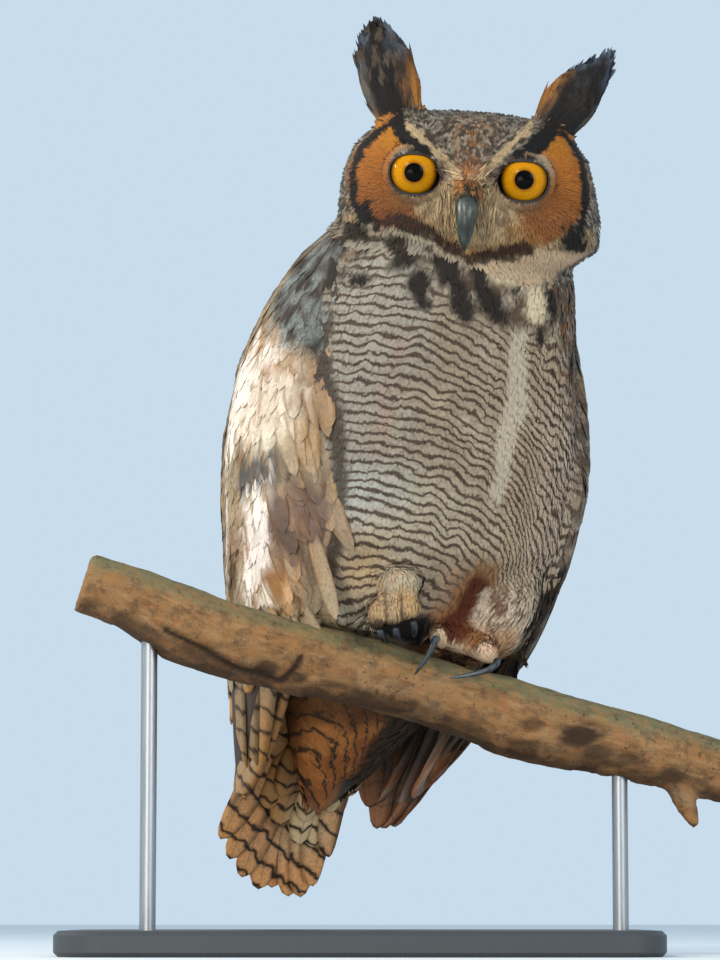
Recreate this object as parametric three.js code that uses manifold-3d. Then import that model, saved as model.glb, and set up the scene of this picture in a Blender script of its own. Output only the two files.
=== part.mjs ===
// A great horned owl at rest on a cut length of branch, life size, on a display stand.
// Millimetres, +Z up. The origin is the middle of the stand base's underside; the owl looks towards -Y.
import * as THREE from "three";
import { mergeVertices } from "three/addons/utils/BufferGeometryUtils.js";
import Module from "manifold-3d";

const wasm = await Module();
wasm.setup();

// ---------------------------------------------------------------- driving dimensions
const GAP = 0.35; // clearance left between neighbouring solids
const BODY_TURN = THREE.MathUtils.degToRad(30); // the chest faces +X of straight ahead
const PERCH_POINT = new THREE.Vector3(45, -25, 0); // the body frame stands here, over the perch
const MOUNT_HEIGHT = -3.5; // the owl and its perch were laid out this much higher
const EYE_SPACING = 61;
const EYE_RADIUS = 15;
const TALON_LENGTH = 25;
const BASE = { width: 330, depth: 224, thickness: 14, corner: 26, bevel: 2.5 };
const ROD = { radius: 4.5, sunk: 8, intoPerch: 13 };
const ROD_PLACES = { left: new THREE.Vector2(-116, -55.5), right: new THREE.Vector2(146, -5.5) };

const COLOURS = {
  feather: 0xb9a68c,
  breast: 0xcfc3ae,
  face: 0xc07a3c,
  tuft: 0x3a2f2a,
  wing: 0xa48f76,
  tail: 0xb08a5e,
  foot: 0xc4a888,
  eye: 0xe8a914,
  horn: 0x3b444a,
  bark: 0x8c6a45,
  steel: 0xc4c8cc,
  base: 0xb8bcc0,
};

// ---------------------------------------------------------------- solids
// A closed geometry as a manifold solid, turned the right way out.
function solid(geometry) {
  const bare = geometry.clone();
  bare.deleteAttribute("normal");
  bare.deleteAttribute("uv");
  const merged = mergeVertices(bare, 1e-3);
  const triVerts = new Uint32Array(merged.index.array);
  const vertProperties = merged.attributes.position.array;
  const build = () => new wasm.Manifold(new wasm.Mesh({ numProp: 3, vertProperties, triVerts }));
  const made = build();
  if (made.volume() > 0) return made;
  for (let i = 0; i < triVerts.length; i += 3) {
    [triVerts[i + 1], triVerts[i + 2]] = [triVerts[i + 2], triVerts[i + 1]];
  }
  return build();
}

function geometryOf(made) {
  const mesh = made.getMesh();
  const stride = mesh.numProp;
  const places = new Float32Array(mesh.numVert * 3);
  for (let i = 0; i < mesh.numVert; i++) {
    places.set(mesh.vertProperties.subarray(i * stride, i * stride + 3), i * 3);
  }
  const geometry = new THREE.BufferGeometry();
  geometry.setAttribute("position", new THREE.BufferAttribute(places, 3));
  geometry.setIndex(new THREE.BufferAttribute(new Uint32Array(mesh.triVerts), 1));
  geometry.computeVertexNormals();
  return geometry;
}

// The largest body of a solid, without the slivers that a cut may leave.
function mainBody(made) {
  return made.decompose().reduce((a, b) => (a.volume() > b.volume() ? a : b));
}

// A sphere whose vertices are moved: place(turn, along) gives a point for the angle round the
// poles and the share of the way from the first pole to the second.
function warpedSphere(around, along, place) {
  const geometry = new THREE.SphereGeometry(1, around, along);
  const uv = geometry.attributes.uv;
  const position = geometry.attributes.position;
  for (let i = 0; i < position.count; i++) {
    const ring = Math.round((1 - uv.getY(i)) * along) / along;
    const turn = ring === 0 || ring === 1 ? 0 : (Math.round(uv.getX(i) * around) % around) / around;
    const point = place(turn * 2 * Math.PI, ring);
    position.setXYZ(i, point.x, point.y, point.z);
  }
  return geometry;
}

const signedPower = (value, power) => Math.sign(value) * Math.abs(value) ** power;
const bell = (distance, width) => Math.exp(-((distance / width) ** 2));
const endward = (v) => v - 0.11 * Math.sin(2 * Math.PI * v); // rings gather near both ends

// A tube through stations. Each station is a centre [x, y, z], a half width across, and half
// depths to the front and to the back. across is the direction of the half width.
class Loft {
  constructor(stations, { across = new THREE.Vector3(1, 0, 0), power = 2, blunt = 8 } = {}) {
    this.spine = new THREE.CatmullRomCurve3(stations.map((s) => new THREE.Vector3(...s.at)));
    this.radii = new THREE.CatmullRomCurve3(
      stations.map((s) => new THREE.Vector3(s.wide, s.front, s.back ?? s.front)),
    );
    this.across = across.clone().normalize();
    this.power = power;
    this.blunt = blunt;
  }

  // angle 0 is the front, a quarter turn is +across, half a turn is the back.
  point(t, angle, grow = 0, scale = 1) {
    const centre = this.spine.getPoint(t);
    const along = this.spine.getTangent(t);
    const side = this.across.clone().addScaledVector(along, -this.across.dot(along)).normalize();
    const front = along.clone().cross(side).normalize();
    const radii = this.radii.getPoint(t);
    const s = signedPower(Math.sin(angle), 2 / this.power);
    const c = signedPower(Math.cos(angle), 2 / this.power);
    const depth = c > 0 ? radii.y : radii.z;
    return centre
      .addScaledVector(side, (radii.x + grow) * s * scale)
      .addScaledVector(front, (depth + grow) * c * scale);
  }

  // blunt sets how flat the ends are: 2 is an ellipsoid, 8 keeps the tube full near its ends.
  geometry(around, along, grow = 0) {
    return warpedSphere(around, along, (turn, v) => {
      const t = endward(v);
      const closing = Math.sqrt(Math.max(0, 1 - Math.abs(2 * t - 1) ** this.blunt));
      return this.point(t, turn, grow, closing);
    });
  }

  // The same tube with sawn ends.
  sawnGeometry(around, along, grow = 0) {
    return warpedSphere(around, along, (turn, v) => {
      const t = THREE.MathUtils.clamp((v * along - 1) / (along - 2), 0, 1);
      return this.point(t, turn, grow, v === 0 || v === 1 ? 0 : 1);
    });
  }

  solid(around, along, grow = 0) {
    return solid(this.geometry(around, along, grow));
  }
}

function ball(centre, radii, around = 16, along = 12) {
  const geometry = new THREE.SphereGeometry(1, around, along);
  geometry.scale(...radii);
  geometry.translate(...centre);
  return solid(geometry);
}

// Moves a solid from one group's frame to another's.
function inFrame(made, from, to) {
  from.updateWorldMatrix(true, false);
  to.updateWorldMatrix(true, false);
  const matrix = to.matrixWorld.clone().invert().multiply(from.matrixWorld);
  return made.transform(matrix.elements);
}

// Halves a solid with a thin cut across a point; returns the part on the normal's side first.
function parted(made, point, normal) {
  const n = normal.clone().normalize();
  const level = n.dot(point);
  const axis = n.toArray();
  const [above] = made.splitByPlane(axis, level + GAP / 2);
  const [, below] = made.splitByPlane(axis, level - GAP / 2);
  return [mainBody(above), mainBody(below)];
}

// ---------------------------------------------------------------- groups
const root = new THREE.Group();
const mounted = new THREE.Group();
mounted.position.z = MOUNT_HEIGHT;
root.add(mounted);
const body = new THREE.Group();
body.position.copy(PERCH_POINT);
body.rotation.z = BODY_TURN;
mounted.add(body);

// The face looks at a viewer 2 m in front and near the floor, with a slight tilt of the head.
const head = new THREE.Group();
head.position.set(61.3, -48, 438);
head.rotation.order = "ZXY";
head.rotation.set(
  THREE.MathUtils.degToRad(11.8),
  THREE.MathUtils.degToRad(4.2),
  THREE.MathUtils.degToRad(-1.8),
);
mounted.add(head);

function add(group, name, made, colour, roughness = 0.85, metalness = 0) {
  const material = new THREE.MeshStandardMaterial({ color: colour, roughness, metalness });
  const mesh = new THREE.Mesh(geometryOf(made), material);
  mesh.name = name;
  group.add(mesh);
}

// ---------------------------------------------------------------- trunk and neck
const TRUNK = [
  { at: [4, -32, 442], wide: 44, front: 28, back: 42 },
  { at: [8, -27, 420], wide: 60, front: 42, back: 54 },
  { at: [9, -8, 392], wide: 75, front: 62, back: 63 },
  { at: [6, 16, 352], wide: 91, front: 74, back: 74 },
  { at: [4, 34, 312], wide: 98, front: 84, back: 83 },
  { at: [2, 42, 268], wide: 99, front: 88, back: 86 },
  { at: [0, 54, 225], wide: 92, front: 80, back: 79 },
  { at: [0, 72, 186], wide: 76, front: 52, back: 58 },
  { at: [0, 94, 150], wide: 52, front: 32, back: 36 },
  { at: [-2, 118, 114], wide: 34, front: 19, back: 18 },
  { at: [-4, 138, 80], wide: 20, front: 8, back: 8 },
];
const NECK_CUT = { at: new THREE.Vector3(0, 2, 374), normal: new THREE.Vector3(0, -0.5, 0.866) };
const trunkLoft = new Loft(TRUNK, { power: 2.15, blunt: 6 });

// ---------------------------------------------------------------- wings
// The folded wings lie on a sleeve round the trunk, which stays wider than it towards the tips.
const SLEEVE = [
  ...TRUNK.slice(0, 6),
  { at: [0, 54, 225], wide: 92, front: 82, back: 80 },
  { at: [0, 73, 186], wide: 84, front: 68, back: 66 },
  { at: [0, 97, 150], wide: 74, front: 52, back: 50 },
  { at: [0, 119, 118], wide: 64, front: 40, back: 36 },
  { at: [0, 144, 74], wide: 52, front: 28, back: 24 },
];
const sleeve = new Loft(SLEEVE, { power: 2.15 });
const WING = {
  start: 0.14, // along the sleeve
  end: { right: 0.965, left: 1 },
  sunk: 3, // the inner face lies this deep under the sleeve
  // Front and back edge in degrees round the sleeve, and thickness, from shoulder to tip.
  edges: [
    [95, 150, 3], [77, 163, 10], [58, 168, 13], [51, 170, 12], [54, 168, 11], [57, 160, 8], [60, 150, 6],
  ],
};
const wingEdges = new THREE.CatmullRomCurve3(WING.edges.map((row) => new THREE.Vector3(...row)));
const WING_CUT = { at: new THREE.Vector3(0, 52, 236), normal: new THREE.Vector3(0, -0.25, 1) };

function wingSolid(side, grow = 0) {
  const end = side < 0 ? WING.end.right : WING.end.left;
  return solid(
    warpedSphere(14, 16, (turn, v) => {
      const share = endward(v);
      const t = WING.start + (end - WING.start) * share + 0.004 * grow * (2 * v - 1);
      const row = wingEdges.getPoint(share);
      const closing = Math.sqrt(Math.max(0, 1 - Math.abs(2 * share - 1) ** 7));
      const middle = (row.x + row.y) / 2;
      const half = ((row.y - row.x) / 2) * closing + 1.5 * grow;
      const degrees = middle - half * signedPower(Math.cos(turn), 0.85);
      const outer = Math.sin(turn) > 1e-6;
      const rise = outer ? (row.z + WING.sunk) * Math.sin(turn) ** 0.5 * closing : 0;
      const angle = THREE.MathUtils.degToRad(degrees) * side;
      return sleeve.point(t, angle, rise - WING.sunk + (outer ? grow : -grow));
    }),
  );
}

// ---------------------------------------------------------------- tail
const TAIL = [
  { at: [0, 88, 190], wide: 28, front: 4 },
  { at: [-3, 118, 150], wide: 41, front: 4.5 },
  { at: [-10, 143, 112], wide: 50, front: 4.5 },
  { at: [-12, 163, 78], wide: 48, front: 4 },
  { at: [5, 175, 52], wide: 27, front: 3.5 },
  { at: [11, 181, 33], wide: 13, front: 3 },
];
const TAIL_ROOF = 7; // the outer feathers sit this much lower than the middle ones
const tailLoft = new Loft(TAIL, { power: 3, blunt: 7 });

function tailSolid() {
  return solid(
    warpedSphere(16, 10, (turn, v) => {
      const t = endward(v);
      const closing = Math.sqrt(Math.max(0, 1 - Math.abs(2 * t - 1) ** 7));
      const point = tailLoft.point(t, turn, 0, closing);
      const off = (point.x - tailLoft.spine.getPoint(t).x) / 40;
      point.y -= TAIL_ROOF * off * off;
      return point;
    }),
  );
}

// ---------------------------------------------------------------- head
const HEAD = { wide: 73, front: 50, back: 58, up: 50, down: 51, middle: -12, across: 2.6, round: 2.15 };
const CHEEK = { height: -34, reach: 15, from: 28, to: 52, out: { left: 10, right: 3 } };
const HEAD_RINGS = { around: 26, along: 18 };
const face = [-1, 1].map((side) => ({
  eye: new THREE.Vector2(side * (EYE_SPACING / 2), 0),
  browFrom: new THREE.Vector2(side * 8, -4),
  browTo: new THREE.Vector2(side * 42, 29),
}));

function distanceToLine(point, from, to) {
  const line = to.clone().sub(from);
  const share = THREE.MathUtils.clamp(point.clone().sub(from).dot(line) / line.lengthSq(), 0, 1);
  return point.distanceTo(from.clone().addScaledVector(line, share));
}

// How far the face stands forward of the plain head at (x, z), in millimetres.
function faceRelief(x, z) {
  const at = new THREE.Vector2(x, z);
  let relief = 5 * bell(distanceToLine(at, new THREE.Vector2(0, 4), new THREE.Vector2(0, -24)), 9);
  relief += 4.5 * bell(at.distanceTo(new THREE.Vector2(0, -26)), 16);
  for (const { eye, browFrom, browTo } of face) {
    const fromEye = at.distanceTo(eye);
    relief -= 6.5 * bell(fromEye, 18);
    relief += 3 * bell(fromEye - 36, 8) * THREE.MathUtils.smoothstep(Math.abs(x), 20, 45);
    relief += 5 * bell(distanceToLine(at, browFrom, browTo), 8);
  }
  return relief;
}

// The rings run round the line of sight, closest together on the face.
function headGeometry(around, along, grow = 0) {
  const { wide, front, back, up, down, middle, across, round } = HEAD;
  return warpedSphere(around, along, (turn, v) => {
    const polar = Math.PI * v ** 1.12;
    const [dx, dy, dz] = [
      Math.sin(polar) * Math.sin(turn), -Math.cos(polar), Math.sin(polar) * Math.cos(turn),
    ];
    const ax = Math.abs(dx) / (wide + grow);
    const ay = Math.abs(dy) / ((dy < 0 ? front : back) + grow);
    const az = Math.abs(dz) / ((dz > 0 ? up : down) + grow);
    const reach = ((ax ** across + az ** across) ** (round / across) + ay ** round) ** (-1 / round);
    const [y, z] = [dy * reach, dz * reach + middle];
    const cheek = CHEEK.out[dx > 0 ? "left" : "right"] * bell(z - CHEEK.height, CHEEK.reach);
    const width = Math.abs(dx) * reach;
    const x = Math.sign(dx) * (width + cheek * THREE.MathUtils.smoothstep(width, CHEEK.from, CHEEK.to));
    const faceShare = THREE.MathUtils.smoothstep(-y, 4, 30);
    return new THREE.Vector3(x, y - faceShare * faceRelief(x, z), z);
  });
}

const headSolid = (grow = 0) => solid(headGeometry(HEAD_RINGS.around, HEAD_RINGS.along, grow));

const TUFTS = {
  right: {
    stations: [
      { at: [-38, -14, 20], wide: 14, front: 8 },
      { at: [-43, -13, 36], wide: 18.5, front: 8 },
      { at: [-49.5, -9, 54], wide: 19, front: 6.5 },
      { at: [-55, -3, 71], wide: 14, front: 4.5 },
      { at: [-59, 4, 86], wide: 6, front: 2.5 },
    ],
    across: new THREE.Vector3(1, 0.1, 0.1),
  },
  left: {
    stations: [
      { at: [40, -14, 20], wide: 16, front: 8 },
      { at: [47, -11, 35], wide: 18, front: 8 },
      { at: [57, -4, 49], wide: 17.5, front: 7 },
      { at: [68.5, 6.7, 62.9], wide: 10, front: 4.5 },
      { at: [76, 16.5, 77], wide: 3.2, front: 2.2 },
    ],
    across: new THREE.Vector3(0.75, 0.35, -0.56),
  },
};

const BILL = [
  { at: [0, -50, -5], wide: 6.2, front: 5 },
  { at: [0, -60, -9], wide: 7.4, front: 7 },
  { at: [0, -69, -19], wide: 6.6, front: 8 },
  { at: [0, -71, -31], wide: 4.4, front: 5.6 },
  { at: [0, -67.5, -42], wide: 1.6, front: 2.2 },
];
const LOWER_BILL = [
  { at: [0, -50, -25], wide: 5.6, front: 4 },
  { at: [0, -58, -30], wide: 5, front: 4 },
  { at: [0, -63.5, -35], wide: 3, front: 2.4 },
];

const eyes = [-1, 1].map((side) => ({
  name: side < 0 ? "right" : "left",
  centre: [side * (EYE_SPACING / 2), -35.5, 0],
}));
const billSolid = new Loft(BILL, { blunt: 5 }).solid(10, 12);
const lowerBillSolid = new Loft(LOWER_BILL, { blunt: 5 }).solid(8, 6);

function buildHead() {
  let skull = headSolid();
  for (const { name, centre } of eyes) {
    const eyeball = ball(centre, [EYE_RADIUS, EYE_RADIUS, EYE_RADIUS], 12, 9);
    add(head, `eye_${name}`, eyeball, COLOURS.eye, 0.15);
    skull = skull.subtract(ball(centre, Array(3).fill(EYE_RADIUS + GAP), 12, 9));
  }
  const lower = lowerBillSolid.subtract(new Loft(BILL, { blunt: 5 }).solid(10, 12, GAP));
  add(head, "bill_upper", billSolid, COLOURS.horn, 0.35);
  add(head, "bill_lower", mainBody(lower), COLOURS.horn, 0.4);
  skull = skull
    .subtract(new Loft(BILL, { blunt: 5 }).solid(10, 12, GAP))
    .subtract(new Loft(LOWER_BILL, { blunt: 5 }).solid(8, 6, GAP));
  for (const [name, { stations, across }] of Object.entries(TUFTS)) {
    const tuft = new Loft(stations, { across, blunt: 4 }).solid(12, 10);
    add(head, `ear_tuft_${name}`, mainBody(tuft.subtract(headSolid(GAP))), COLOURS.tuft);
  }
  add(head, "head", mainBody(skull), COLOURS.face);
}

// ---------------------------------------------------------------- perch
const PERCH = [
  { at: [-152, -62, 208], wide: 17, front: 17 },
  { at: [-132, -60, 201.5], wide: 17.5, front: 17.5 },
  { at: [-115, -56.5, 193.5], wide: 20, front: 20 },
  { at: [-97, -53, 184.5], wide: 22, front: 22 },
  { at: [-70, -48, 176], wide: 21, front: 21.5 },
  { at: [-30, -40, 166.5], wide: 20, front: 20.5 },
  { at: [17, -31, 157], wide: 20, front: 20 },
  { at: [50, -24, 146], wide: 20, front: 19.5 },
  { at: [82, -18, 136.5], wide: 21, front: 22.5 },
  { at: [112, -12, 129], wide: 20, front: 21 },
  { at: [135, -8, 124], wide: 19.5, front: 20 },
  { at: [158, -4, 119], wide: 19, front: 19 },
  { at: [181, 0.5, 113], wide: 18, front: 18.5 },
  { at: [210, 6, 104.5], wide: 18, front: 18 },
];
const PERCH_STUB = [
  { at: [178, -2, 110], wide: 9, front: 9 },
  { at: [181, -4, 94], wide: 8, front: 7 },
  { at: [185, -7, 82], wide: 6, front: 5 },
  { at: [190, -9, 74], wide: 4, front: 4 },
];
const perchLoft = new Loft(PERCH, { across: new THREE.Vector3(-0.19, 0.98, 0) });

function perchSolid() {
  const stub = new Loft(PERCH_STUB, { blunt: 6 }).solid(8, 6);
  return solid(perchLoft.sawnGeometry(12, 20)).add(stub);
}
const grippedPerch = solid(perchLoft.sawnGeometry(12, 20, GAP));

// ---------------------------------------------------------------- legs and feet
// Leg feathers, in the body frame.
const THIGHS = {
  left: [
    { at: [46, 34, 246], wide: 34, front: 38 },
    { at: [43, 14, 216], wide: 33, front: 34 },
    { at: [35, 0, 188], wide: 25, front: 26 },
    { at: [28, -7, 167], wide: 15, front: 14 },
  ],
  right: [
    { at: [-46, 36, 248], wide: 34, front: 38 },
    { at: [-44, 18, 222], wide: 31, front: 33 },
    { at: [-40, 6, 202], wide: 24, front: 24 },
    { at: [-37, 2, 188], wide: 15, front: 15 },
  ],
};

// The gripping foot, in a frame on the perch's axis: x runs along the perch, y to the back.
const R = 20; // perch radius under the foot
const grip = new THREE.Group();
grip.position.set(47.5, -24.7, 146.5);
grip.rotation.order = "ZYX";
grip.rotation.set(0, THREE.MathUtils.degToRad(14.5), THREE.MathUtils.degToRad(10.8));
mounted.add(grip);

// The drawn-up foot hangs as a fist over the front of the perch.
const fist = new THREE.Group();
fist.position.set(21, -30, 156);
mounted.add(fist);

// Each toe is a tube or, when it is curled, a ball; its claw goes on from it.
const FEET = {
  left: {
    frame: grip,
    pads: [{ at: [0, 0, R + 13], radii: [12, 13, 10] }],
    toes: [
      {
        name: "inner_front",
        tube: [
          { at: [-2, 2, R + 13], wide: 9, front: 9 },
          { at: [-9, -6, R + 11.5], wide: 8, front: 8 },
          { at: [-14, -14, R + 10], wide: 8, front: 8 },
          { at: [-17, -22, R + 8], wide: 7, front: 7 },
        ],
        claw: [[-17.5, -23, R + 9], [-19, -27, R + 3], [-21, -26, R - 6], [-24.5, -22.8, R - 16]],
      },
      {
        name: "middle_front",
        tube: [
          { at: [3, 1, R + 12], wide: 9, front: 9 },
          { at: [9, -6, R + 11], wide: 8, front: 8 },
          { at: [14, -15, R + 9], wide: 8.5, front: 8 },
          { at: [17, -23, R + 5], wide: 7.5, front: 7 },
        ],
        claw: [[18.5, -25, R + 6], [17, -28.5, R], [8, -27, R - 6], [-5.5, -21.8, R - 12]],
      },
      {
        name: "outer_back",
        tube: [
          { at: [3, 4, R + 11], wide: 8, front: 8 },
          { at: [9, 13, R + 7.5], wide: 7.5, front: 7.5 },
          { at: [13, 23, R - 1], wide: 7, front: 6.5 },
          { at: [14, 28.5, R - 11], wide: 6.5, front: 6 },
        ],
        claw: [[14, 29, R - 12], [14, 31, R - 21], [13, 28.5, R - 31], [12, 23, R - 38]],
      },
      {
        name: "hind",
        tube: [
          { at: [-3, 4, R + 11], wide: 8, front: 8 },
          { at: [-9, 13, R + 7.5], wide: 7.5, front: 7.5 },
          { at: [-12, 22, R], wide: 7, front: 6.5 },
          { at: [-13, 27.5, R - 8], wide: 6.5, front: 6 },
        ],
        claw: [[-13, 28, R - 9], [-13, 31, R - 17], [-12.5, 29.5, R - 27], [-12, 25, R - 34]],
      },
    ],
  },
  right: {
    frame: fist,
    pads: [{ at: [1, -28, 52], radii: [14.5, 14, 11] }],
    toes: [
      {
        name: "inner_front",
        ball: { at: [-12, -34, 34], radii: [7, 9, 10.5] },
        claw: [[-10.5, -36, 26], [-8.5, -33, 20.5], [-5, -26, 18.5]],
      },
      {
        name: "middle_front",
        ball: { at: [-2.5, -35, 34], radii: [6, 8, 9] },
        claw: [[-2, -37, 27], [-0.5, -34, 21.5], [2, -27, 19]],
      },
      {
        name: "outer_back",
        ball: { at: [7.5, -34, 37], radii: [7.5, 8.5, 8] },
        claw: [[7.5, -35, 31], [9, -32.5, 25], [8.5, -25.5, 21.5]],
      },
    ],
  },
};

const CLAW_SECTION = { root: 3.6, middle: 2.7, tip: 0.8 };
function clawSolid(points, grow = 0) {
  const widths = points.map((_, i) => {
    const share = i / (points.length - 1);
    return share < 0.5
      ? THREE.MathUtils.lerp(CLAW_SECTION.root, CLAW_SECTION.middle, share * 2)
      : THREE.MathUtils.lerp(CLAW_SECTION.middle, CLAW_SECTION.tip, share * 2 - 1);
  });
  const stations = points.map((at, i) => ({ at, wide: widths[i] * 0.85, front: widths[i] }));
  return new Loft(stations, { blunt: 6 }).solid(6, 7, grow);
}

function footSolid({ pads, toes }, grow = 0) {
  const balls = [...pads, ...toes.filter((toe) => toe.ball).map((toe) => toe.ball)];
  const tubes = toes.filter((toe) => toe.tube).map((toe) => toe.tube);
  return [
    ...balls.map(({ at, radii }) => ball(at, radii.map((r) => r + grow), 9, 6)),
    ...tubes.map((tube) => new Loft(tube, { blunt: 5 }).solid(7, 6, grow)),
  ].reduce((a, b) => a.add(b));
}

// Adds both feet and gives back the solids that the legs and the trunk have to leave free.
function buildFeet() {
  const taken = [];
  for (const [side, foot] of Object.entries(FEET)) {
    const { frame } = foot;
    const perchHere = inFrame(grippedPerch, mounted, frame);
    let flesh = footSolid(foot).subtract(perchHere);
    for (const { name, claw } of foot.toes) {
      const horn = clawSolid(claw).subtract(perchHere);
      add(frame, `talon_${side}_${name}`, mainBody(horn), COLOURS.horn, 0.35);
      flesh = flesh.subtract(clawSolid(claw, GAP));
      taken.push(inFrame(clawSolid(claw, GAP), frame, body));
    }
    add(frame, `foot_${side}`, mainBody(flesh), COLOURS.foot);
    taken.push(inFrame(footSolid(foot, GAP), frame, body));
  }
  return taken;
}

// ---------------------------------------------------------------- body
function buildBody() {
  const whole = trunkLoft.solid(24, 17);
  const grownHead = inFrame(headSolid(GAP), head, body);
  const taken = [inFrame(grippedPerch, mounted, body), ...buildFeet()];
  const clear = (made) => taken.reduce((rest, other) => rest.subtract(other), made);
  const [neck, trunk] = parted(whole, NECK_CUT.at, NECK_CUT.normal);
  add(body, "neck", mainBody(neck.subtract(grownHead)), COLOURS.feather);
  add(body, "trunk", mainBody(clear(trunk.subtract(grownHead))), COLOURS.breast);

  const grownTrunk = trunkLoft.solid(24, 17, GAP);
  const wings = [];
  for (const [name, side] of [["right", -1], ["left", 1]]) {
    const wing = clear(wingSolid(side).subtract(grownHead)).subtract(grownTrunk);
    const [coverts, quills] = parted(mainBody(wing), WING_CUT.at, WING_CUT.normal);
    add(body, `wing_${name}_coverts`, coverts, COLOURS.wing);
    add(body, `wing_${name}_quills`, quills, COLOURS.wing);
    wings.push(wingSolid(side, 2 * GAP));
  }

  let tail = tailSolid().subtract(grownTrunk);
  for (const wing of wings) tail = tail.subtract(wing);
  add(body, "tail", mainBody(tail), COLOURS.tail);

  for (const [name, stations] of Object.entries(THIGHS)) {
    let thigh = clear(new Loft(stations, { blunt: 4 }).solid(12, 8)).subtract(grownTrunk);
    for (const wing of wings) thigh = thigh.subtract(wing);
    add(body, `leg_${name}`, mainBody(thigh), COLOURS.breast);
  }
}

// ---------------------------------------------------------------- perch and stand
// A rod-shaped solid standing on the plane z = bottom.
function upright(radius, place, bottom, top) {
  const geometry = new THREE.CylinderGeometry(radius, radius, top - bottom, 16);
  geometry.rotateX(Math.PI / 2);
  geometry.translate(place.x, place.y, (top + bottom) / 2);
  return solid(geometry);
}

function perchAxisHeight(x) {
  let t = 0;
  while (t < 1 && perchLoft.spine.getPoint(t).x < x) t += 0.002;
  return perchLoft.spine.getPoint(t).z;
}

function baseGeometry() {
  const { width, depth, thickness, corner, bevel } = BASE;
  const [w, d] = [width / 2 - bevel, depth / 2 - bevel];
  const shape = new THREE.Shape();
  shape.moveTo(-w + corner, -d);
  shape.lineTo(w - corner, -d);
  shape.absarc(w - corner, -d + corner, corner, -Math.PI / 2, 0);
  shape.absarc(w - corner, d - corner, corner, 0, Math.PI / 2);
  shape.absarc(-w + corner, d - corner, corner, Math.PI / 2, Math.PI);
  shape.absarc(-w + corner, -d + corner, corner, Math.PI, 1.5 * Math.PI);
  const geometry = new THREE.ExtrudeGeometry(shape, {
    depth: thickness - 2 * bevel, bevelEnabled: true, bevelThickness: bevel, bevelSize: bevel,
    bevelSegments: 1, curveSegments: 4,
  });
  geometry.translate(0, 0, bevel);
  return geometry;
}

function buildStand() {
  let perch = perchSolid();
  let base = solid(baseGeometry());
  for (const [name, place] of Object.entries(ROD_PLACES)) {
    const top = perchAxisHeight(place.x) + MOUNT_HEIGHT - 20 + ROD.intoPerch;
    const bottom = BASE.thickness - ROD.sunk;
    add(root, `stand_rod_${name}`, upright(ROD.radius, place, bottom, top), COLOURS.steel, 0.3, 1);
    const hole = upright(ROD.radius + GAP, place, bottom - GAP, top + GAP);
    perch = perch.subtract(inFrame(hole, root, mounted));
    base = base.subtract(hole);
  }
  add(root, "stand_base", base, COLOURS.base, 0.5);
  add(mounted, "perch", mainBody(perch), COLOURS.bark, 0.9);
}

buildHead();
buildBody();
buildStand();

export default root;
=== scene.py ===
"""A great horned owl at rest on a cut branch, life size: skin, feathers, eyes, bill, claws and stand."""

import math

import bmesh
import bpy
import numpy as np
from mathutils import Matrix, Vector
from mathutils.bvhtree import BVHTree
from mathutils.kdtree import KDTree


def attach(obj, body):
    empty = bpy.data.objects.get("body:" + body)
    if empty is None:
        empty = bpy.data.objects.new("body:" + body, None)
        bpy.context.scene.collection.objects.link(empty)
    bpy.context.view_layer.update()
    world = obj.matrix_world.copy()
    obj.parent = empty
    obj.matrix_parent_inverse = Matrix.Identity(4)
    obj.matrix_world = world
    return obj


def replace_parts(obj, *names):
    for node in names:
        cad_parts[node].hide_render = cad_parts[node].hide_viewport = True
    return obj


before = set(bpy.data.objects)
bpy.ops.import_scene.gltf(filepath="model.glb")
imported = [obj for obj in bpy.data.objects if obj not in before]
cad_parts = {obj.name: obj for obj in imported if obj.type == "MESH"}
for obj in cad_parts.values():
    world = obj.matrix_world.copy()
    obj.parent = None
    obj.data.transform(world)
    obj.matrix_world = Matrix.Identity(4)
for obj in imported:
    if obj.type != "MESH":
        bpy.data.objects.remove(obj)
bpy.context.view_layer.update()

MM = 0.001
SEED = 11


# ---------------------------------------------------------------- frames, in millimetres
class Place:
    """A part's own frame in millimetres: x to the owl's left, y to its back, z up."""

    def __init__(self, origin, *turns):
        matrix = Matrix.Translation(Vector(origin) * MM)
        for degrees, axis in turns:
            matrix = matrix @ Matrix.Rotation(math.radians(degrees), 4, axis)
        self.turn = np.array(matrix.to_3x3())
        self.origin = np.array(matrix.translation)

    def inside(self, points):
        return (points - self.origin) @ self.turn / MM

    def outside(self, points):
        return np.asarray(points, float) * MM @ self.turn.T + self.origin

    def out_of(self, directions):
        return directions @ self.turn.T


BODY = Place((45, -25, -3.5), (30, "Z"))
HEAD = Place((61.3, -48, 434.5), (-1.8, "Z"), (11.8, "X"), (4.2, "Y"))

EYE_RADIUS = 15.0
EYES = {"right": np.array([-30.5, -35.5, 0.0]), "left": np.array([30.5, -35.5, 0.0])}
VIEWER = np.array([0.0, -2.0, 0.0225])  # the eyes look at this point, where the camera stands


def smooth(value, low, high):
    share = np.clip((value - low) / (high - low), 0, 1)
    return share * share * (3 - 2 * share)


def bell(distance, width):
    return np.exp(-((distance / width) ** 2))


def unit(vectors):
    return vectors / np.maximum(np.linalg.norm(vectors, axis=-1, keepdims=True), 1e-9)


def between(first, second, share):
    return first * (1 - share) + second * share


def paint(code):
    """A linear colour from its usual six-figure code."""
    shades = [int(code[i : i + 2], 16) / 255 for i in (0, 2, 4)]
    return np.array([c / 12.92 if c <= 0.04045 else ((c + 0.055) / 1.055) ** 2.4 for c in shades])


def blend(first, second, share):
    """Colours or directions between two others, each given as an array or as a colour's code."""
    first, second = (paint(part) if isinstance(part, str) else part for part in (first, second))
    return between(first, second, np.asarray(share)[..., None])


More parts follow.
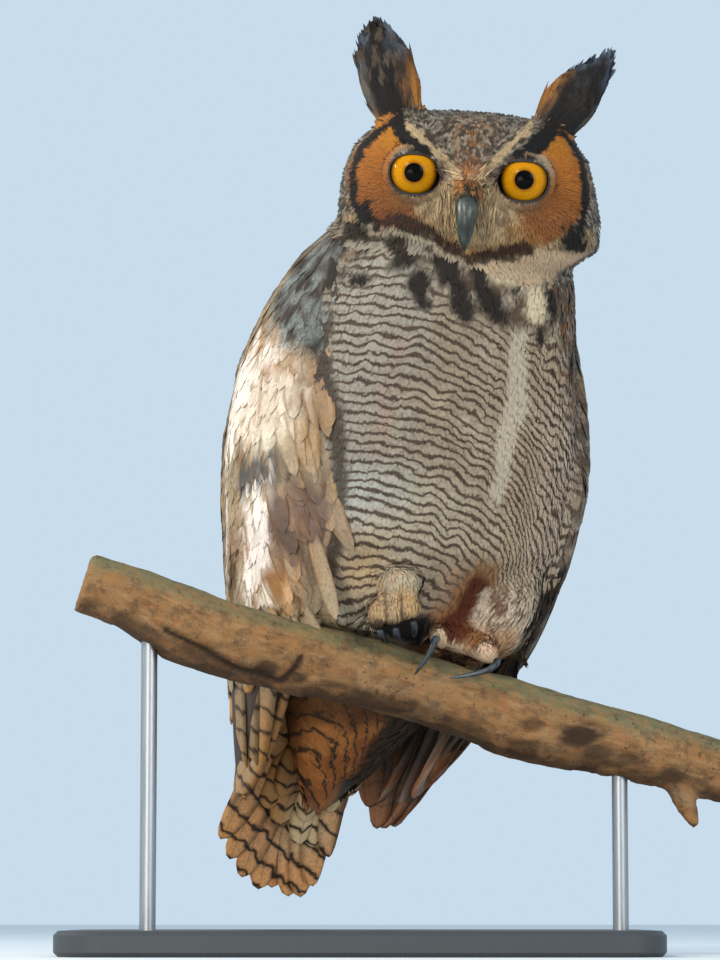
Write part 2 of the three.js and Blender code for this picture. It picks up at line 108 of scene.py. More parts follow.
def line_distance(points, line):
    """Distance from flat points to a line through several places."""
    best = np.full(len(points), np.inf)
    line = np.asarray(line, float)
    for start, end in zip(line[:-1], line[1:]):
        way = end - start
        share = np.clip((points - start) @ way / (way @ way), 0, 1)
        gap = np.linalg.norm(points - start - share[:, None] * way, axis=1)
        best = np.minimum(best, gap)
    return best


LATTICE = np.random.default_rng(SEED).random((64, 64, 64))


def noise(points, size, octaves=2, shift=0.0):
    """Smooth noise from about 0 to 1 that changes over size."""
    total = np.zeros(len(points))
    weight, weights = 1.0, 0.0
    for octave in range(octaves):
        spot = points / size * 2**octave + shift + 7.31 * octave
        cell = np.floor(spot).astype(int)
        part = spot - cell
        part = part * part * (3 - 2 * part)
        value = np.zeros(len(points))
        for corner in np.ndindex(2, 2, 2):
            share = np.prod(np.where(corner, part, 1 - part), axis=1)
            i, j, k = ((cell + corner) % 64).T
            value += share * LATTICE[i, j, k]
        total += weight * value
        weights += weight
        weight *= 0.5
    return total / weights


# ---------------------------------------------------------------- meshes
def linked(name, data):
    made = bpy.data.objects.new(name, data)
    bpy.context.scene.collection.objects.link(made)
    return made


def new_object(name, mesh):
    made = linked(name, mesh)
    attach(made, "root")
    return made


def mesh_of(bm, name="in work", keep=False):
    """A bmesh as a mesh; the bmesh is freed unless it is kept."""
    mesh = bpy.data.meshes.new(name)
    bm.to_mesh(mesh)
    if not keep:
        bm.free()
    return mesh


def add_values(mesh, name, values):
    """Gives a mesh's points three numbers each, or a colour of four."""
    kind, field = ("FLOAT_COLOR", "color") if values.shape[1] == 4 else ("FLOAT_VECTOR", "vector")
    made = mesh.attributes.new(name, kind, "POINT")
    made.data.foreach_set(field, values.astype(np.float32).ravel())


def finished(mesh, name, material):
    """A mesh as a smooth-shaded object."""
    mesh.shade_smooth()
    mesh.materials.append(material)
    return new_object(name, mesh)


def cad_copy(nodes):
    """Copies of CAD nodes in one bmesh, their triangles joined."""
    bm = bmesh.new()
    for node in nodes:
        bm.from_mesh(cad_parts[node].data)
    bmesh.ops.remove_doubles(bm, verts=bm.verts, dist=1e-6)
    return bm


def with_modifiers(bm, *steps):
    """The bmesh after modifiers, each given as (type, settings)."""
    mesh = mesh_of(bm)
    held = linked("in work", mesh)
    for kind, settings in steps:
        modifier = held.modifiers.new(kind, kind)
        for key, value in settings.items():
            setattr(modifier, key, value)
    done = bpy.data.meshes.new_from_object(held.evaluated_get(bpy.context.evaluated_depsgraph_get()))
    made = bmesh.new()
    made.from_mesh(done)
    bpy.data.objects.remove(held)
    bpy.data.meshes.remove(mesh)
    bpy.data.meshes.remove(done)
    return made


def places_of(bm):
    return np.array([v.co for v in bm.verts])


def move_to(bm, places):
    for vert, place in zip(bm.verts, places):
        vert.co = place


class Surface:
    """A mesh that feathers are laid on: nearest places, and smooth normals there."""

    def __init__(self, mesh):
        mesh.calc_loop_triangles()
        places = np.empty(len(mesh.vertices) * 3, np.float32)
        mesh.vertices.foreach_get("co", places)
        triangles = np.empty(len(mesh.loop_triangles) * 3, np.int32)
        mesh.loop_triangles.foreach_get("vertices", triangles)
        self.places = places.reshape(-1, 3).astype(float)
        self.triangles = triangles.reshape(-1, 3)
        self.normals = np.array([n.vector for n in mesh.vertex_normals])
        self.tree = BVHTree.FromPolygons(self.places.tolist(), self.triangles.tolist())

    def nearest(self, points):
        """Places, smooth normals and triangle numbers nearest to points."""
        found = [self.tree.find_nearest(p) for p in points.tolist()]
        places = np.array([tuple(f[0]) for f in found])
        numbers = np.array([f[2] for f in found])
        return places, unit(self.normals[self.triangles[numbers]].sum(axis=1)), numbers


# ---------------------------------------------------------------- shader arithmetic
class Value:
    """A socket of a material, as a number that Python arithmetic works on."""

    def __init__(self, finish, socket):
        self.finish = finish
        self.socket = socket

    def maths(self, operation, *values):
        return self.finish.node("ShaderNodeMath", {"operation": operation}, values)

    def __add__(self, other):
        return self.maths("ADD", self, other)

    __radd__ = __add__

    def __sub__(self, other):
        return self.maths("SUBTRACT", self, other)

    def __rsub__(self, other):
        return self.maths("SUBTRACT", other, self)

    def __mul__(self, other):
        return self.maths("MULTIPLY", self, other)

    __rmul__ = __mul__

    def fraction(self):
        return self.maths("FRACT", self)

    def size(self):
        return self.maths("ABSOLUTE", self)

    def step(self, low, high):
        """0 below low and 1 above high, smooth between."""
        values = {"Value": self, "From Min": low, "From Max": high}
        return self.finish.node("ShaderNodeMapRange", {"interpolation_type": "SMOOTHSTEP"}, values)

    def times(self, vector):
        """This vector scaled along each axis."""
        return self.finish.node("ShaderNodeVectorMath", {"operation": "MULTIPLY"}, (self, vector))

    def plus(self, vector):
        return self.finish.node("ShaderNodeVectorMath", {"operation": "ADD"}, (self, vector))

    def axis(self, index):
        return self.finish.node("ShaderNodeSeparateXYZ", values=(self,), out=index)


def opaque(code):
    return (*paint(code), 1.0)


class Finish:
    """A procedural material. Colours that don't vary are given to its nodes as codes."""

    def __init__(self, name, **fixed):
        self.material = bpy.data.materials.new(name)
        self.material.use_nodes = True
        self.nodes = self.material.node_tree.nodes
        self.links = self.material.node_tree.links
        self.shader = self.nodes["Principled BSDF"]
        for socket, value in fixed.items():
            self.shader.inputs[socket.replace("_", " ")].default_value = value

    def node(self, kind, settings=None, values=(), out=0):
        made = self.nodes.new(kind)
        for key, value in (settings or {}).items():
            if key == "stops":
                for place, shade in value[2:]:
                    made.color_ramp.elements.new(place)
                for element, (place, shade) in zip(made.color_ramp.elements, sorted(value)):
                    element.position = place
                    element.color = opaque(shade)
            else:
                setattr(made, key, value)
        pairs = values.items() if isinstance(values, dict) else enumerate(values)
        for key, value in pairs:
            if isinstance(value, Value):
                self.links.new(value.socket, made.inputs[key])
            else:
                made.inputs[key].default_value = opaque(value) if isinstance(value, str) else value
        return Value(self, made.outputs[out])

    def attribute(self, name, out=0):
        """out 0 is its colour, 1 its vector, 2 its number and 3 its alpha."""
        return self.node("ShaderNodeAttribute", {"attribute_name": name}, out=out)

    def place(self):
        """Object coordinates, in metres."""
        return self.node("ShaderNodeTexCoord", out=3)

    def noise(self, vector, scale, detail=2.0, roughness=0.5):
        values = {"Vector": vector, "Scale": scale, "Detail": detail, "Roughness": roughness}
        return self.node("ShaderNodeTexNoise", values=values)

    def mix(self, share, first, second, blend_type="MIX"):
        """A colour between two others."""
        settings = {"data_type": "RGBA", "blend_type": blend_type}
        values = {0: share, 6: first, 7: second}
        return self.node("ShaderNodeMix", settings, values, out=2)

    def ramp(self, value, *stops):
        return self.node("ShaderNodeValToRGB", {"stops": list(stops)}, (value,))

    def grey(self, value):
        return self.node("ShaderNodeCombineColor", values=(value, value, value))

    def feed(self, socket, value):
        self.links.new(value.socket, self.shader.inputs[socket])

    def bump(self, height, distance, strength=1.0):
        values = {"Height": height, "Distance": distance, "Strength": strength}
        self.feed("Normal", self.node("ShaderNodeBump", values=values))


# ---------------------------------------------------------------- plumage colours
CREAM = paint("978b77")
WHITE = paint("b6ad9b")
RUST = paint("96552a")
TAN = paint("a8834f")
GREY = paint("847a6b")
BROWN = paint("5d4632")
DARK = paint("2a2019")
BLACK = paint("120e0c")
PALE_TOE = paint("cdb094")


class Coating:
    """The colours of many points of plumage, painted from the ground up."""

    def __init__(self, count, ground):
        self.tint = blend(np.zeros((count, 3)), ground, 1.0)
        self.bar = np.zeros(count)
        self.phase = np.zeros(count)
        self.pepper = np.full(count, 0.25)

    def over(self, colour, share, bar=None, pepper=None):
        self.tint = blend(self.tint, colour, share)
        if bar is not None:
            self.bar = between(self.bar, bar, share)
        if pepper is not None:
            self.pepper = between(self.pepper, pepper, share)

    def shade(self, factors, share):
        """Multiplies red, green and blue by a factor each, in part."""
        self.tint = self.tint * (1 - share[:, None] * (1 - np.array(factors)))

    def where(self, mask, other):
        """Takes another coating's colours where the mask is true."""
        for name in ("tint", "bar", "phase", "pepper"):
            getattr(self, name)[mask] = getattr(other, name)[mask]


# ---------------------------------------------------------------- trunk: lie and bars
# Height, centre x and y, and radius of the trunk, in the body's frame.
TRUNK = np.array([
    (80, -4, 138, 20), (114, -2, 118, 34), (150, 0, 94, 52), (186, 0, 72, 76), (225, 0, 54, 92),
    (268, 2, 42, 99), (312, 4, 34, 98), (352, 6, 16, 91), (392, 9, -8, 75), (442, 4, -32, 44),
], float)
GIRTH = 90.0  # radius that turns the angle round the trunk into millimetres
BAR_SPACING = 5.3
LEANS = ((-110, -75, -47, 0, 22, 38, 60, 85, 120), (0.04, 0.1, 0.2, 0.46, 0.66, 0.74, 0.52, 0.24, 0.1))


def round_trunk(inside):
    """Angle round the trunk from the keel, in degrees, positive to the owl's left."""
    x = inside[:, 0] - np.interp(inside[:, 2], TRUNK[:, 0], TRUNK[:, 1])
    y = inside[:, 1] - np.interp(inside[:, 2], TRUNK[:, 0], TRUNK[:, 2])
    return np.degrees(np.arctan2(x, -y))


def lean(arc, height):
    """How far the coat leans to the owl's right for each millimetre down."""
    across = np.interp(arc, *LEANS)
    flank = 0.22 * smooth(arc, 0, 40) * smooth(-height, -265, -215) * (1 - smooth(arc, 55, 85))
    low = 0.3 * smooth(-arc, 30, 70) * smooth(-height, -240, -200)
    behind = 1 - smooth(np.abs(arc), 150, 215)
    return (across + flank - low) * behind


ARCS = np.linspace(-283, 283, 567)
FLANK_LEVEL = 325.0  # where bars keep their place as they part on the flank


def bar_phase(arc, height):
    """Bars run square to the lie, wider apart on the left flank: the phase grows by one from bar to bar."""
    levels = (120.0, 195.0, 228.0, 260.0, 450.0)
    tables = [np.cumsum(lean(ARCS, np.full_like(ARCS, level))) for level in levels]
    tables = [table - table[len(ARCS) // 2] for table in tables]
    columns = [np.interp(arc, ARCS, table) for table in tables]
    along = np.zeros_like(arc)
    for low, high, first, second in zip(levels, levels[1:], columns, columns[1:]):
        share = np.clip((height - low) / (high - low), 0, 1)
        inside = (height >= low) & (height <= high)
        along = np.where(inside, between(first, second, share), along)
    return (FLANK_LEVEL - height - along) / BAR_SPACING * (1 - 0.25 * smooth(arc, 20, 60))


def trunk_lie(inside):
    angle = np.radians(round_trunk(inside))
    slope = lean(angle * GIRTH, inside[:, 2])
    flat = np.stack([np.cos(angle), np.sin(angle), np.zeros_like(angle)], axis=1)
    return unit(-slope[:, None] * flat - np.array([0, 0, 1.0]))


# ---------------------------------------------------------------- markings of the body
# Dark blotches on the upper breast: angle, height, half length, half width, slant in degrees.
BLOTCHES = (
    (-33, 378, 26.4, 7.425, -37), (-9, 366, 26.4, 6.75, -44), (-58, 388, 10.8, 10.8, 10),
    (-83, 393, 8.4, 4.725, 15), (-44, 370, 12, 5.4, -40), (32, 366, 12, 6.075, -75),
    (42, 352, 12, 5.4, -75), (9, 372, 7.2, 6.075, -60), (-20, 359, 13.2, 6.075, -30),
    (-38, 360, 7.2, 2.97, -25), (54, 366, 10.8, 8.1, -80), (62, 345, 12, 8.1, -80),
    (-72, 374, 8.4, 4.05, -20), (24, 345, 7.2, 4.05, -70), (50, 336, 9.6, 5.4, -75),
    (-90, 378, 9.6, 6.75, 0),
)
# Painted shadow under the drawn-up foot, as a line in the body's frame.
FIST_SHADOW = ((-36, 0, 180), (-24, -2, 183), (-12, 0, 181))
# The fold between leg and belly, rusty with painted shade in its crease, and painted shadow at the edge of
# the wing behind the leg: round the trunk, and height.
FOLD_RUST_AND_SHADE = ((14, 208), (11.5, 200), (10.5, 193), (5, 186), (-5, 181))
WING_EDGE_SHADOW = ((78, 222), (66, 208), (56, 197), (44, 183), (40, 170))
# Painted shadow on the breast along the right wing's front edge, in the same way.
WING_FRONT_SHADOW = (
    (-119, 353), (-112, 336), (-101, 318), (-91, 300), (-87, 285), (-84, 270), (-81.5, 247), (-79.5, 231),
    (-81, 215), (-84, 202), (-88, 188),
)
# Where the breast's blotches begin above its bars: angles round the trunk, and the heights there.
BARS_START = ((-95, -60, -45, -25, 0, 40, 95), (394, 389, 380, 360, 350, 344, 332))


class TrunkPlaces:
    """Where points lie round the trunk, with the noise that breaks up its markings."""

    def __init__(self, points):
        self.inside = BODY.inside(points)
        self.height = self.inside[:, 2]
        self.angle = round_trunk(self.inside)
        self.arc = np.radians(self.angle) * GIRTH
        self.rough = noise(self.inside, 14) - 0.5
        self.fine = noise(self.inside, 5, shift=3.0) - 0.5
        self.back = smooth(np.abs(self.angle), 96, 112)  # 1 on the back and 0 in front

    def near(self, line, wander, low, high):
        """1 beside a line round the trunk, and 0 from high millimetres away."""
        gap = line_distance(np.column_stack([self.arc, self.height]), line)
        return 1 - smooth(gap + wander * self.fine, low, high)


def barred_ground(at):
    """Dark bars on cream and grey, warm on the left side and cool on the right."""
    arc, height, rough, fine = at.arc, at.height, at.rough, at.fine
    broken = noise(np.column_stack([arc, height * 0.5, 0 * arc]), 9, 2, 12.0) - 0.5
    coat = Coating(len(arc), CREAM)
    coat.phase = bar_phase(arc, height) + 0.8 * rough + 1.3 * broken
    coat.bar[:] = 0.85
    coat.over(GREY, 0.5 * smooth(rough + 0.25 * fine, 0.05, 0.3))
    coat.over(WHITE, 0.5 * smooth(-rough, 0.08, 0.3))
    rusty = bell(arc + 67 + 20 * rough, 7) * smooth(height, 262, 290) * (1 - smooth(height, 338, 352))
    coat.over(RUST, 0.6 * rusty)
    coat.over(TAN, 0.5 * bell(arc + 62, 14) * bell(height - 218, 22))
    coat.over("a58d70", 0.55 * smooth(arc + 30 * rough, -25, 40))
    coat.over("a0a6a2", 0.6 * smooth(-arc + 30 * rough, 25, 70) * smooth(height, 215, 260))
    coat.shade((0.76, 0.69, 0.63), (1 - smooth(arc, -45, 5)) * smooth(height, 250, 285))
    coat.shade((0.88, 0.86, 0.86), bell(arc - 12, 35) * smooth(height, 230, 265))
    coat.shade((1.02, 0.88, 0.8), smooth(-height, -240, -205) * bell(arc + 2, 28))
    side = smooth(arc, 38, 52) * smooth(height, 200, 230) * (1 - smooth(height, 300, 335))
    coat.shade((1.16, 1.15, 1.24), side)
    belly = smooth(-height, -228, -196) * bell(arc - 8 + 20 * rough, 17)
    coat.over(blend(RUST, BROWN, smooth(fine, -0.1, 0.2)), 0.85 * belly, bar=0.2)
    return coat


def paint_leg(coat, at):
    """Long pale hairs on the leg beside a rusty fold with painted shade in its crease, and painted shadow
    along both wings' edges.
    """
    arc, height, fine = at.arc, at.height, at.fine
    hair = noise(np.column_stack([arc + 4 * fine, height * 0.1, 0 * arc]), 1.8, 2, 4.0)
    leg = smooth(arc + 6 * fine, 15, 20) * (1 - smooth(arc, 46, 54)) * smooth(8 * fine - height, -213, -203)
    coat.over(blend("b5a48d", "5a4030", smooth(hair, 0.5, 0.6)), 0.92 * leg, bar=0.1)
    cuff = leg * smooth(-height, -188, -180) * (1 - smooth(arc, 32, 42))
    coat.over(blend("9a6a3c", "5a3218", smooth(hair, 0.45, 0.6)), 0.7 * cuff)
    # Rust beside the fold, and painted shade in its crease.
    coat.over("7d5128", 0.8 * at.near(FOLD_RUST_AND_SHADE, 8, 9, 17) * (1 - leg), bar=0.1)
    coat.over("481b08", 0.97 * at.near(FOLD_RUST_AND_SHADE, 7, 5, 9), bar=0.0, pepper=0.0)
    # Painted shadow at the left wing's edge behind the leg.
    coat.over(BLACK, at.near(WING_EDGE_SHADOW, 0, 1.6, 3.0), bar=0.0, pepper=0.0)
    # Painted shadow on the breast along the right wing's front edge.
    coat.over(DARK, 0.85 * at.near(WING_FRONT_SHADOW, 6, 2.5, 6.5), bar=0.3, pepper=0.2)


def paint_breast(coat, at):
    """A pale parting down the middle, and dark blotches below a pale throat."""
    arc, height, angle, rough, fine = at.arc, at.height, at.angle, at.rough, at.fine
    middle = np.interp(height, [250, 280, 310, 350], [11, 14, 22, 18])
    parting = bell(arc - middle + 12 * rough, 5 + 3 * bell(height - 300, 35)) * smooth(height, 240, 262)
    parting = smooth(parting + 0.4 * fine, 0.2, 0.6) * (1 - smooth(height, 350, 372))
    coat.over("ab9f8a", 0.9 * parting, bar=0.0, pepper=0.05)
    upper = smooth(height - np.interp(angle, *BARS_START) + 10 * rough, -3, 5)
    coat.over(blend(CREAM, "6f6253", 0.5), upper, bar=0.25)
    patchy = noise(at.inside * (1, 1, 1.6), 11, 2, 6.0) - 0.5
    coat.over("b5a78e", upper * smooth(-patchy - 0.3 * fine, 0.05, 0.16) * 0.8)
    coat.over(blend(DARK, BROWN, 0.4), upper * smooth(patchy + 0.3 * fine, 0.02, 0.12) * 0.85)
    for spin, level, long, wide, slant in BLOTCHES:
        across = np.radians(angle - spin) * 80 + 5 * fine
        up = height - level + 7 * rough
        cos, sin = math.cos(math.radians(slant)), math.sin(math.radians(slant))
        spread = np.hypot((across * cos + up * sin) / long, (up * cos - across * sin) / wide)
        coat.over(blend(DARK, BLACK, 0.6), 1 - smooth(spread + 0.8 * fine, 0.75, 1.15), bar=0.0)
    throat = bell(np.hypot((angle - 3) / 16, (height - 380) / 9), 1)
    throat = np.maximum(throat, bell(np.hypot((angle - 21) / 8, (height - 364) / 13), 1))
    coat.over("c4b291", smooth(throat + 0.5 * fine, 0.35, 0.6), bar=0.0, pepper=0.1)


def paint_sides(coat, at):
    """Dark shoulders and left side of the breast, and a brown and black mottled back."""
    height, angle, rough, fine = at.height, at.angle, at.rough, at.fine
    side = smooth(np.abs(angle), 74, 92) * smooth(height, 328, 352)
    left_side = smooth(angle + 14 * rough, 36, 52) * smooth(height, 296, 330)
    left_side = np.maximum(left_side, smooth(angle + 8 * rough, 55, 62) * smooth(height, 170, 190))
    mottle = smooth(noise(at.inside, 7, shift=9.0), 0.42, 0.62)
    shade = blend(blend(GREY, "7a6450", smooth(fine, -0.1, 0.1)), DARK, mottle)
    coat.over(shade, np.maximum(side, 0.85 * left_side), bar=0.35, pepper=0.6)
    spots = smooth(noise(at.inside, 6, 2, 21.0), 0.56, 0.64) * smooth(angle, 34, 44)
    coat.over("7d4f2c", 0.8 * spots * smooth(height, 300, 330) * (1 - at.back), bar=0.1)
    bands = blend(blend(TAN, GREY, smooth(rough, -0.2, 0.2)), DARK, mottle)
    coat.over(bands, at.back, bar=0.55, pepper=0.9)


def paint_undertail(coat, at):
    """Orange-buff with thin dark waves, and painted shadow under the perch, under the drawn-up foot and on
    the left side.
    """
    height, rough, fine, aside = at.height, at.rough, at.fine, at.inside[:, 0]
    under = smooth(-height, -176, -150)
    sheen = blend("d9974f", "bb7a3e", smooth(rough, -0.15, 0.15))
    coat.over(sheen, under * (1 - at.back), bar=0.85, pepper=0.1)
    coat.shade((0.74, 0.62, 0.64), under * (1 - at.back))
    curve = 0.022 * np.maximum(aside + 40, 0) ** 2
    coat.phase = np.where(under > 0.5, (height + curve + 8 * rough + 3 * fine) / 9, coat.phase)
    # Painted shadow under the perch, on the top of the undertail.
    coat.over("3d2717", 0.7 * under * smooth(height + 10 * rough, 126, 140))
    # Painted shadow under the drawn-up foot.
    fist_shadow = line_distance(at.inside, FIST_SHADOW)
    coat.over(BLACK, 1 - smooth(fist_shadow + 8 * fine, 9, 13), bar=0.0, pepper=0.0)
    # Painted shadow on the left side, behind the left leg and wing.
    dusk = under * smooth(aside + 8 * rough, 0, 6)
    coat.over(blend(DARK, BROWN, 0.3 * smooth(fine, 0, 0.2)), dusk * 0.95, bar=0.2, pepper=0.0)


def paint_trunk(points):
    """Breast, belly, neck, legs and back."""
    at = TrunkPlaces(points)
    coat = barred_ground(at)
    for part in (paint_leg, paint_breast, paint_sides, paint_undertail):
        part(coat, at)
    return coat


# ---------------------------------------------------------------- markings of the head
# Lines on the face, as places across and up in the head's frame.
RIM = {
    "right": [(-42, 31), (-52, 21), (-61, 12), (-64.5, -4), (-63, -17), (-57, -26), (-48, -30)],
    "left": [(43, 33), (52, 26), (61, 14), (65, -3), (65, -19), (61, -34), (54, -42)],
}
CHIN = [(-48, -30), (-36, -28), (-19, -33), (-5, -41), (3, -46), (9, -45), (23, -42), (35, -39)]
BROWS = {
    "right": [(-4, -2), (-14, 8), (-29, 20), (-37, 27)],
    "left": [(5, -2), (9, 3), (20, 16), (32, 30)],
}
DARK_BROWS = {
    "right": [(-24, 12), (-36, 20), (-44, 31), (-47, 42)],
    "left": [(27, 12), (34, 17), (41, 25), (47, 36)],
}
FLANKS = {"right": -1, "left": 1}
TUFT_AXES = {
    "right": (np.array([-38.0, -14, 20]), np.array([-59.0, 4, 86])),
    "left": (np.array([40.0, -14, 20]), np.array([75.0, 16, 77])),
}


class FacePlaces:
    """Where points lie on the head, with the noise that breaks up its markings."""

    def __init__(self, points):
        self.inside = HEAD.inside(points)
        self.flat = self.inside[:, [0, 2]]
        self.front = smooth(-self.inside[:, 1], 6, 18)
        self.rough = noise(self.inside, 9) - 0.5
        self.fine = noise(self.inside, 3.5, shift=5.0) - 0.5

    def near(self, line, wander, low, high):
        """1 beside a line on the face, and 0 from high millimetres away."""
        return 1 - smooth(line_distance(self.flat, line) + wander * self.fine, low, high)

    def ahead_of(self, back, fore):
        return smooth(-self.inside[:, 1], back, fore)


def crown_ground(at):
    """Grey, black and brown specks, rust between the eyes and buff beside the bill."""
    x, z, front, rough, fine = *at.flat.T, at.front, at.rough, at.fine
    grit = noise(at.inside, 1.7, 1, shift=8.0) - 0.5
    coat = Coating(len(x), "6a6152")
    coat.pepper[:] = 0.6
    coat.over(DARK, smooth(grit + 0.35 * fine, -0.03, 0.1) * 0.85)
    coat.over("96897a", smooth(-grit - 0.3 * fine, 0.08, 0.2) * 0.6)
    coat.over("8c5a2c", smooth(noise(at.inside, 2.2, 1, 31.0), 0.55, 0.65) * 0.5 * bell(x, 12) * front)
    coat.over(TAN, 0.45 * smooth(-rough, 0.05, 0.25) * smooth(np.abs(x), 30, 60))
    coat.over(BROWN, 0.6 * bell(x, 13) * bell(z - 6, 12) * front * smooth(fine, -0.1, 0.2))
    coat.over(RUST, 0.75 * bell(x, 7) * bell(z + 1, 8) * front)
    muzzle = front * smooth(-z - 0.4 * np.abs(x), -5, 2)
    coat.over(blend("a08865", "75624a", smooth(fine, -0.1, 0.2)), muzzle, pepper=0.25)
    return coat


def paint_disc(coat, at, flank):
    """One eye's orange disc with painted light on its upper part, its black rim, its pale ring, and the dark
    and the pale brow.
    """
    x, z, front, rough, fine = *at.flat.T, at.front, at.rough, at.fine
    side = FLANKS[flank]
    off = at.flat - EYES[flank][[0, 2]]
    reach = np.linalg.norm(off, axis=1)
    outward = off[:, 0] * side / np.maximum(reach, 1)
    within = (1 - smooth(reach, 36, 39)) * front
    disc = smooth(reach, 13.5, 15.5) * smooth(outward + 0.5 * fine, -0.4, 0.15) * within
    brow_across, brow_up = np.abs(np.array(DARK_BROWS[flank])).T
    disc *= np.where(z > 12, smooth(x * side - np.interp(z, brow_up, brow_across), -2, 1), 1)
    # Painted light: the disc is lighter above and darker below, and painted golden light lies on its upper
    # part, stronger on the owl's right disc.
    lit_to_shaded = blend("955a1c", "6f421f", smooth(-z + 25 * rough, -6, 28))
    coat.over(lit_to_shaded, 0.95 * disc, pepper=0.05)
    top_light = smooth(z - 0.3 * (reach - 20), 4, 20) * (1.0 if side < 0 else 0.75)
    coat.over("a8701d", 0.8 * disc * top_light)
    coat.shade((0.92, 0.84, 0.7), disc)
    turn = np.degrees(np.arctan2(off[:, 1], off[:, 0] * side))
    pale = bell(reach - 15.5, 1.8) * within * bell(turn - (105 if side < 0 else 60), 45)
    coat.over("b8a98c", 0.85 * pale, pepper=0.05)
    below = bell(reach - 16, 3.0) * within * bell(turn + 100, 55)
    coat.over("7a6248", 0.6 * below, pepper=0.3)
    coat.over(BLACK, at.near(RIM[flank], 3.5, 1.5, 3.0) * at.ahead_of(-6, 4), pepper=0.0)
    coat.over(BLACK, at.near(DARK_BROWS[flank], 5, 3.6, 5.6) * at.ahead_of(0, 8), pepper=0.0)
    coat.over("ac9470", 0.9 * at.near(BROWS[flank], 5, 1.0, 2.8) * front, pepper=0.5)


def paint_chin(coat, at):
    """Patches beside the discs, the dark line under them, and the throat below."""
    (x, z), y, front = at.flat.T, at.inside[:, 1], at.front
    rough, fine = at.rough, at.fine
    jowl = np.hypot(x - 60, (z + 33) * 0.8)
    coat.over(BLACK, (1 - smooth(jowl + 10 * fine, 6, 9)) * at.ahead_of(-2, 8), pepper=0.0)
    patch = np.minimum(np.hypot(x - 57, z - 29), np.hypot(x + 51, z - 31))
    coat.over("96602a", (1 - smooth(patch + 6 * fine, 3.5, 6)) * 0.9, pepper=0.3)
    chin = line_distance(at.flat, CHIN)
    above = smooth(z - np.interp(x, *np.array(CHIN).T), -1, 2)
    strand = smooth(noise(np.column_stack([x, y * 0, z * 0.4]), 2.2, 2, 2.0), 0.4, 0.58)
    coat.over(blend("8a5428", TAN, strand), bell(chin, 8) * above * smooth(x, -24, 0) * front * 0.8)
    tuck = np.where(x < 0, smooth(-x, 8, 20), smooth(x, 2, 10)) * above * front
    coat.over(blend("5a3018", BLACK, smooth(strand + fine, 0.3, 0.7)), bell(chin - 1, 5) * tuck * 0.85)
    below = front * (1 - above) * smooth(chin, 1, 3)
    throat = smooth(x, 2, 12)
    nape = blend(GREY, DARK, smooth(rough, -0.1, 0.1))
    coat.over(blend(nape, "b3987a", throat), below, pepper=0.15)
    ruff = bell(chin - 5 + 5 * fine, 2.0) * (1 - above) * front * (1 - throat)
    coat.over("a5957b", 0.75 * ruff, pepper=0.2)
    jaw = np.hypot(x + 57, (z + 25) * 0.7)
    coat.over(BLACK, (1 - smooth(jaw + 8 * fine, 3, 6)) * at.ahead_of(-2, 8), pepper=0.0)
    band = (1 - smooth(chin + 8 * fine + 4 * rough, 2.4, 4.6)) * front
    coat.over(blend(BLACK, "40281a", 0.6 * strand), band * (0.8 + 0.2 * strand), pepper=0.0)


def paint_head(points):
    """Crown, both discs, and the chin."""
    at = FacePlaces(points)
    coat = crown_ground(at)
    for flank in FLANKS:
        paint_disc(coat, at, flank)
    paint_chin(coat, at)
    return coat


def paint_cere(points):
    """Rust and black bristles over the root of the bill."""
    inside = HEAD.inside(points)
    coat = Coating(len(points), "7a5a38")
    strand = noise(inside * (1, 0.3, 0.3), 1.6, 2, 3.0)
    coat.over("a8642c", smooth(strand, 0.45, 0.6) * bell(inside[:, 0], 8))
    coat.over(BLACK, 0.9 * smooth(-strand, -0.42, -0.3))
    coat.over(BLACK, 0.8 * bell(inside[:, 0], 2.2) * smooth(-inside[:, 2], 1, 5))
    coat.pepper[:] = 0.1
    return coat


def paint_tuft(points, flank):
    """Black with a warm inner side, grey behind, streaked outside and rusty at its root."""
    inside = HEAD.inside(points)
    start, end = TUFT_AXES[flank]
    way = (end - start)[[0, 2]]
    length = np.linalg.norm(way)
    way = way / length
    off = inside[:, [0, 2]] - start[[0, 2]]
    along = off @ way / length
    medial = (off[:, 0] * way[1] - off[:, 1] * way[0]) * -FLANKS[flank]
    rough = noise(inside, 8) - 0.5
    coat = Coating(len(points), BLACK)
    coat.pepper[:] = 0.1
    rear = smooth(inside[:, 1] - start[1] - along * (end[1] - start[1]), 0.5, 3.5)
    coat.over(blend(GREY, BROWN, 0.4), 0.75 * rear, pepper=0.9)
    speck = smooth(noise(inside, 3, 2, 4.0), 0.42, 0.6)
    near, far = ((3.0, 8.0), (0.35, 0.75)) if flank == "right" else ((7.5, 11.0), (0.55, 0.9))
    warm = smooth(medial + 9 * rough, *near) * (1 - smooth(along + 0.4 * rough, *far))
    coat.over(blend("6f4b2a", DARK, 0.85 * speck), 0.9 * warm, pepper=0.4)
    rim = smooth(medial + 2 * rough, near[1] + 1.0, near[1] + 4.0) * (1 - smooth(along, *far))
    coat.over("8c5a22", rim * 0.8)
    streaks = smooth(noise(inside * (1, 1, 0.15), 2.2, 2, 9.0), 0.5, 0.62)
    brush = 0.6 if flank == "right" else 0.15
    coat.over("574839", brush * streaks * (1 - warm) * smooth(along, 0.3, 0.5))
    lateral = smooth(-medial + 6 * rough, 10, 14)
    coat.over("6a645c", 0.4 * lateral * (1 - smooth(along, 0.5, 0.7)), pepper=0.5)
    root = smooth(-along + 0.5 * rough, -0.16, -0.04)
    coat.over("96602a", 0.85 * root * smooth(-medial, -1, 5), pepper=0.3)
    coat.over(blend("7a5a3a", DARK, speck), 0.8 * root * smooth(medial, 1, 6), pepper=0.5)
    tip = smooth(along + 0.5 * rough, 0.62, 0.85) * smooth(np.abs(medial + 3) + 8 * rough, 2, 8)
    coat.over("4b5663", 0.75 * np.maximum(tip, smooth(along + 0.3 * rough, 0.84, 1.0)), pepper=0.2)
    return coat
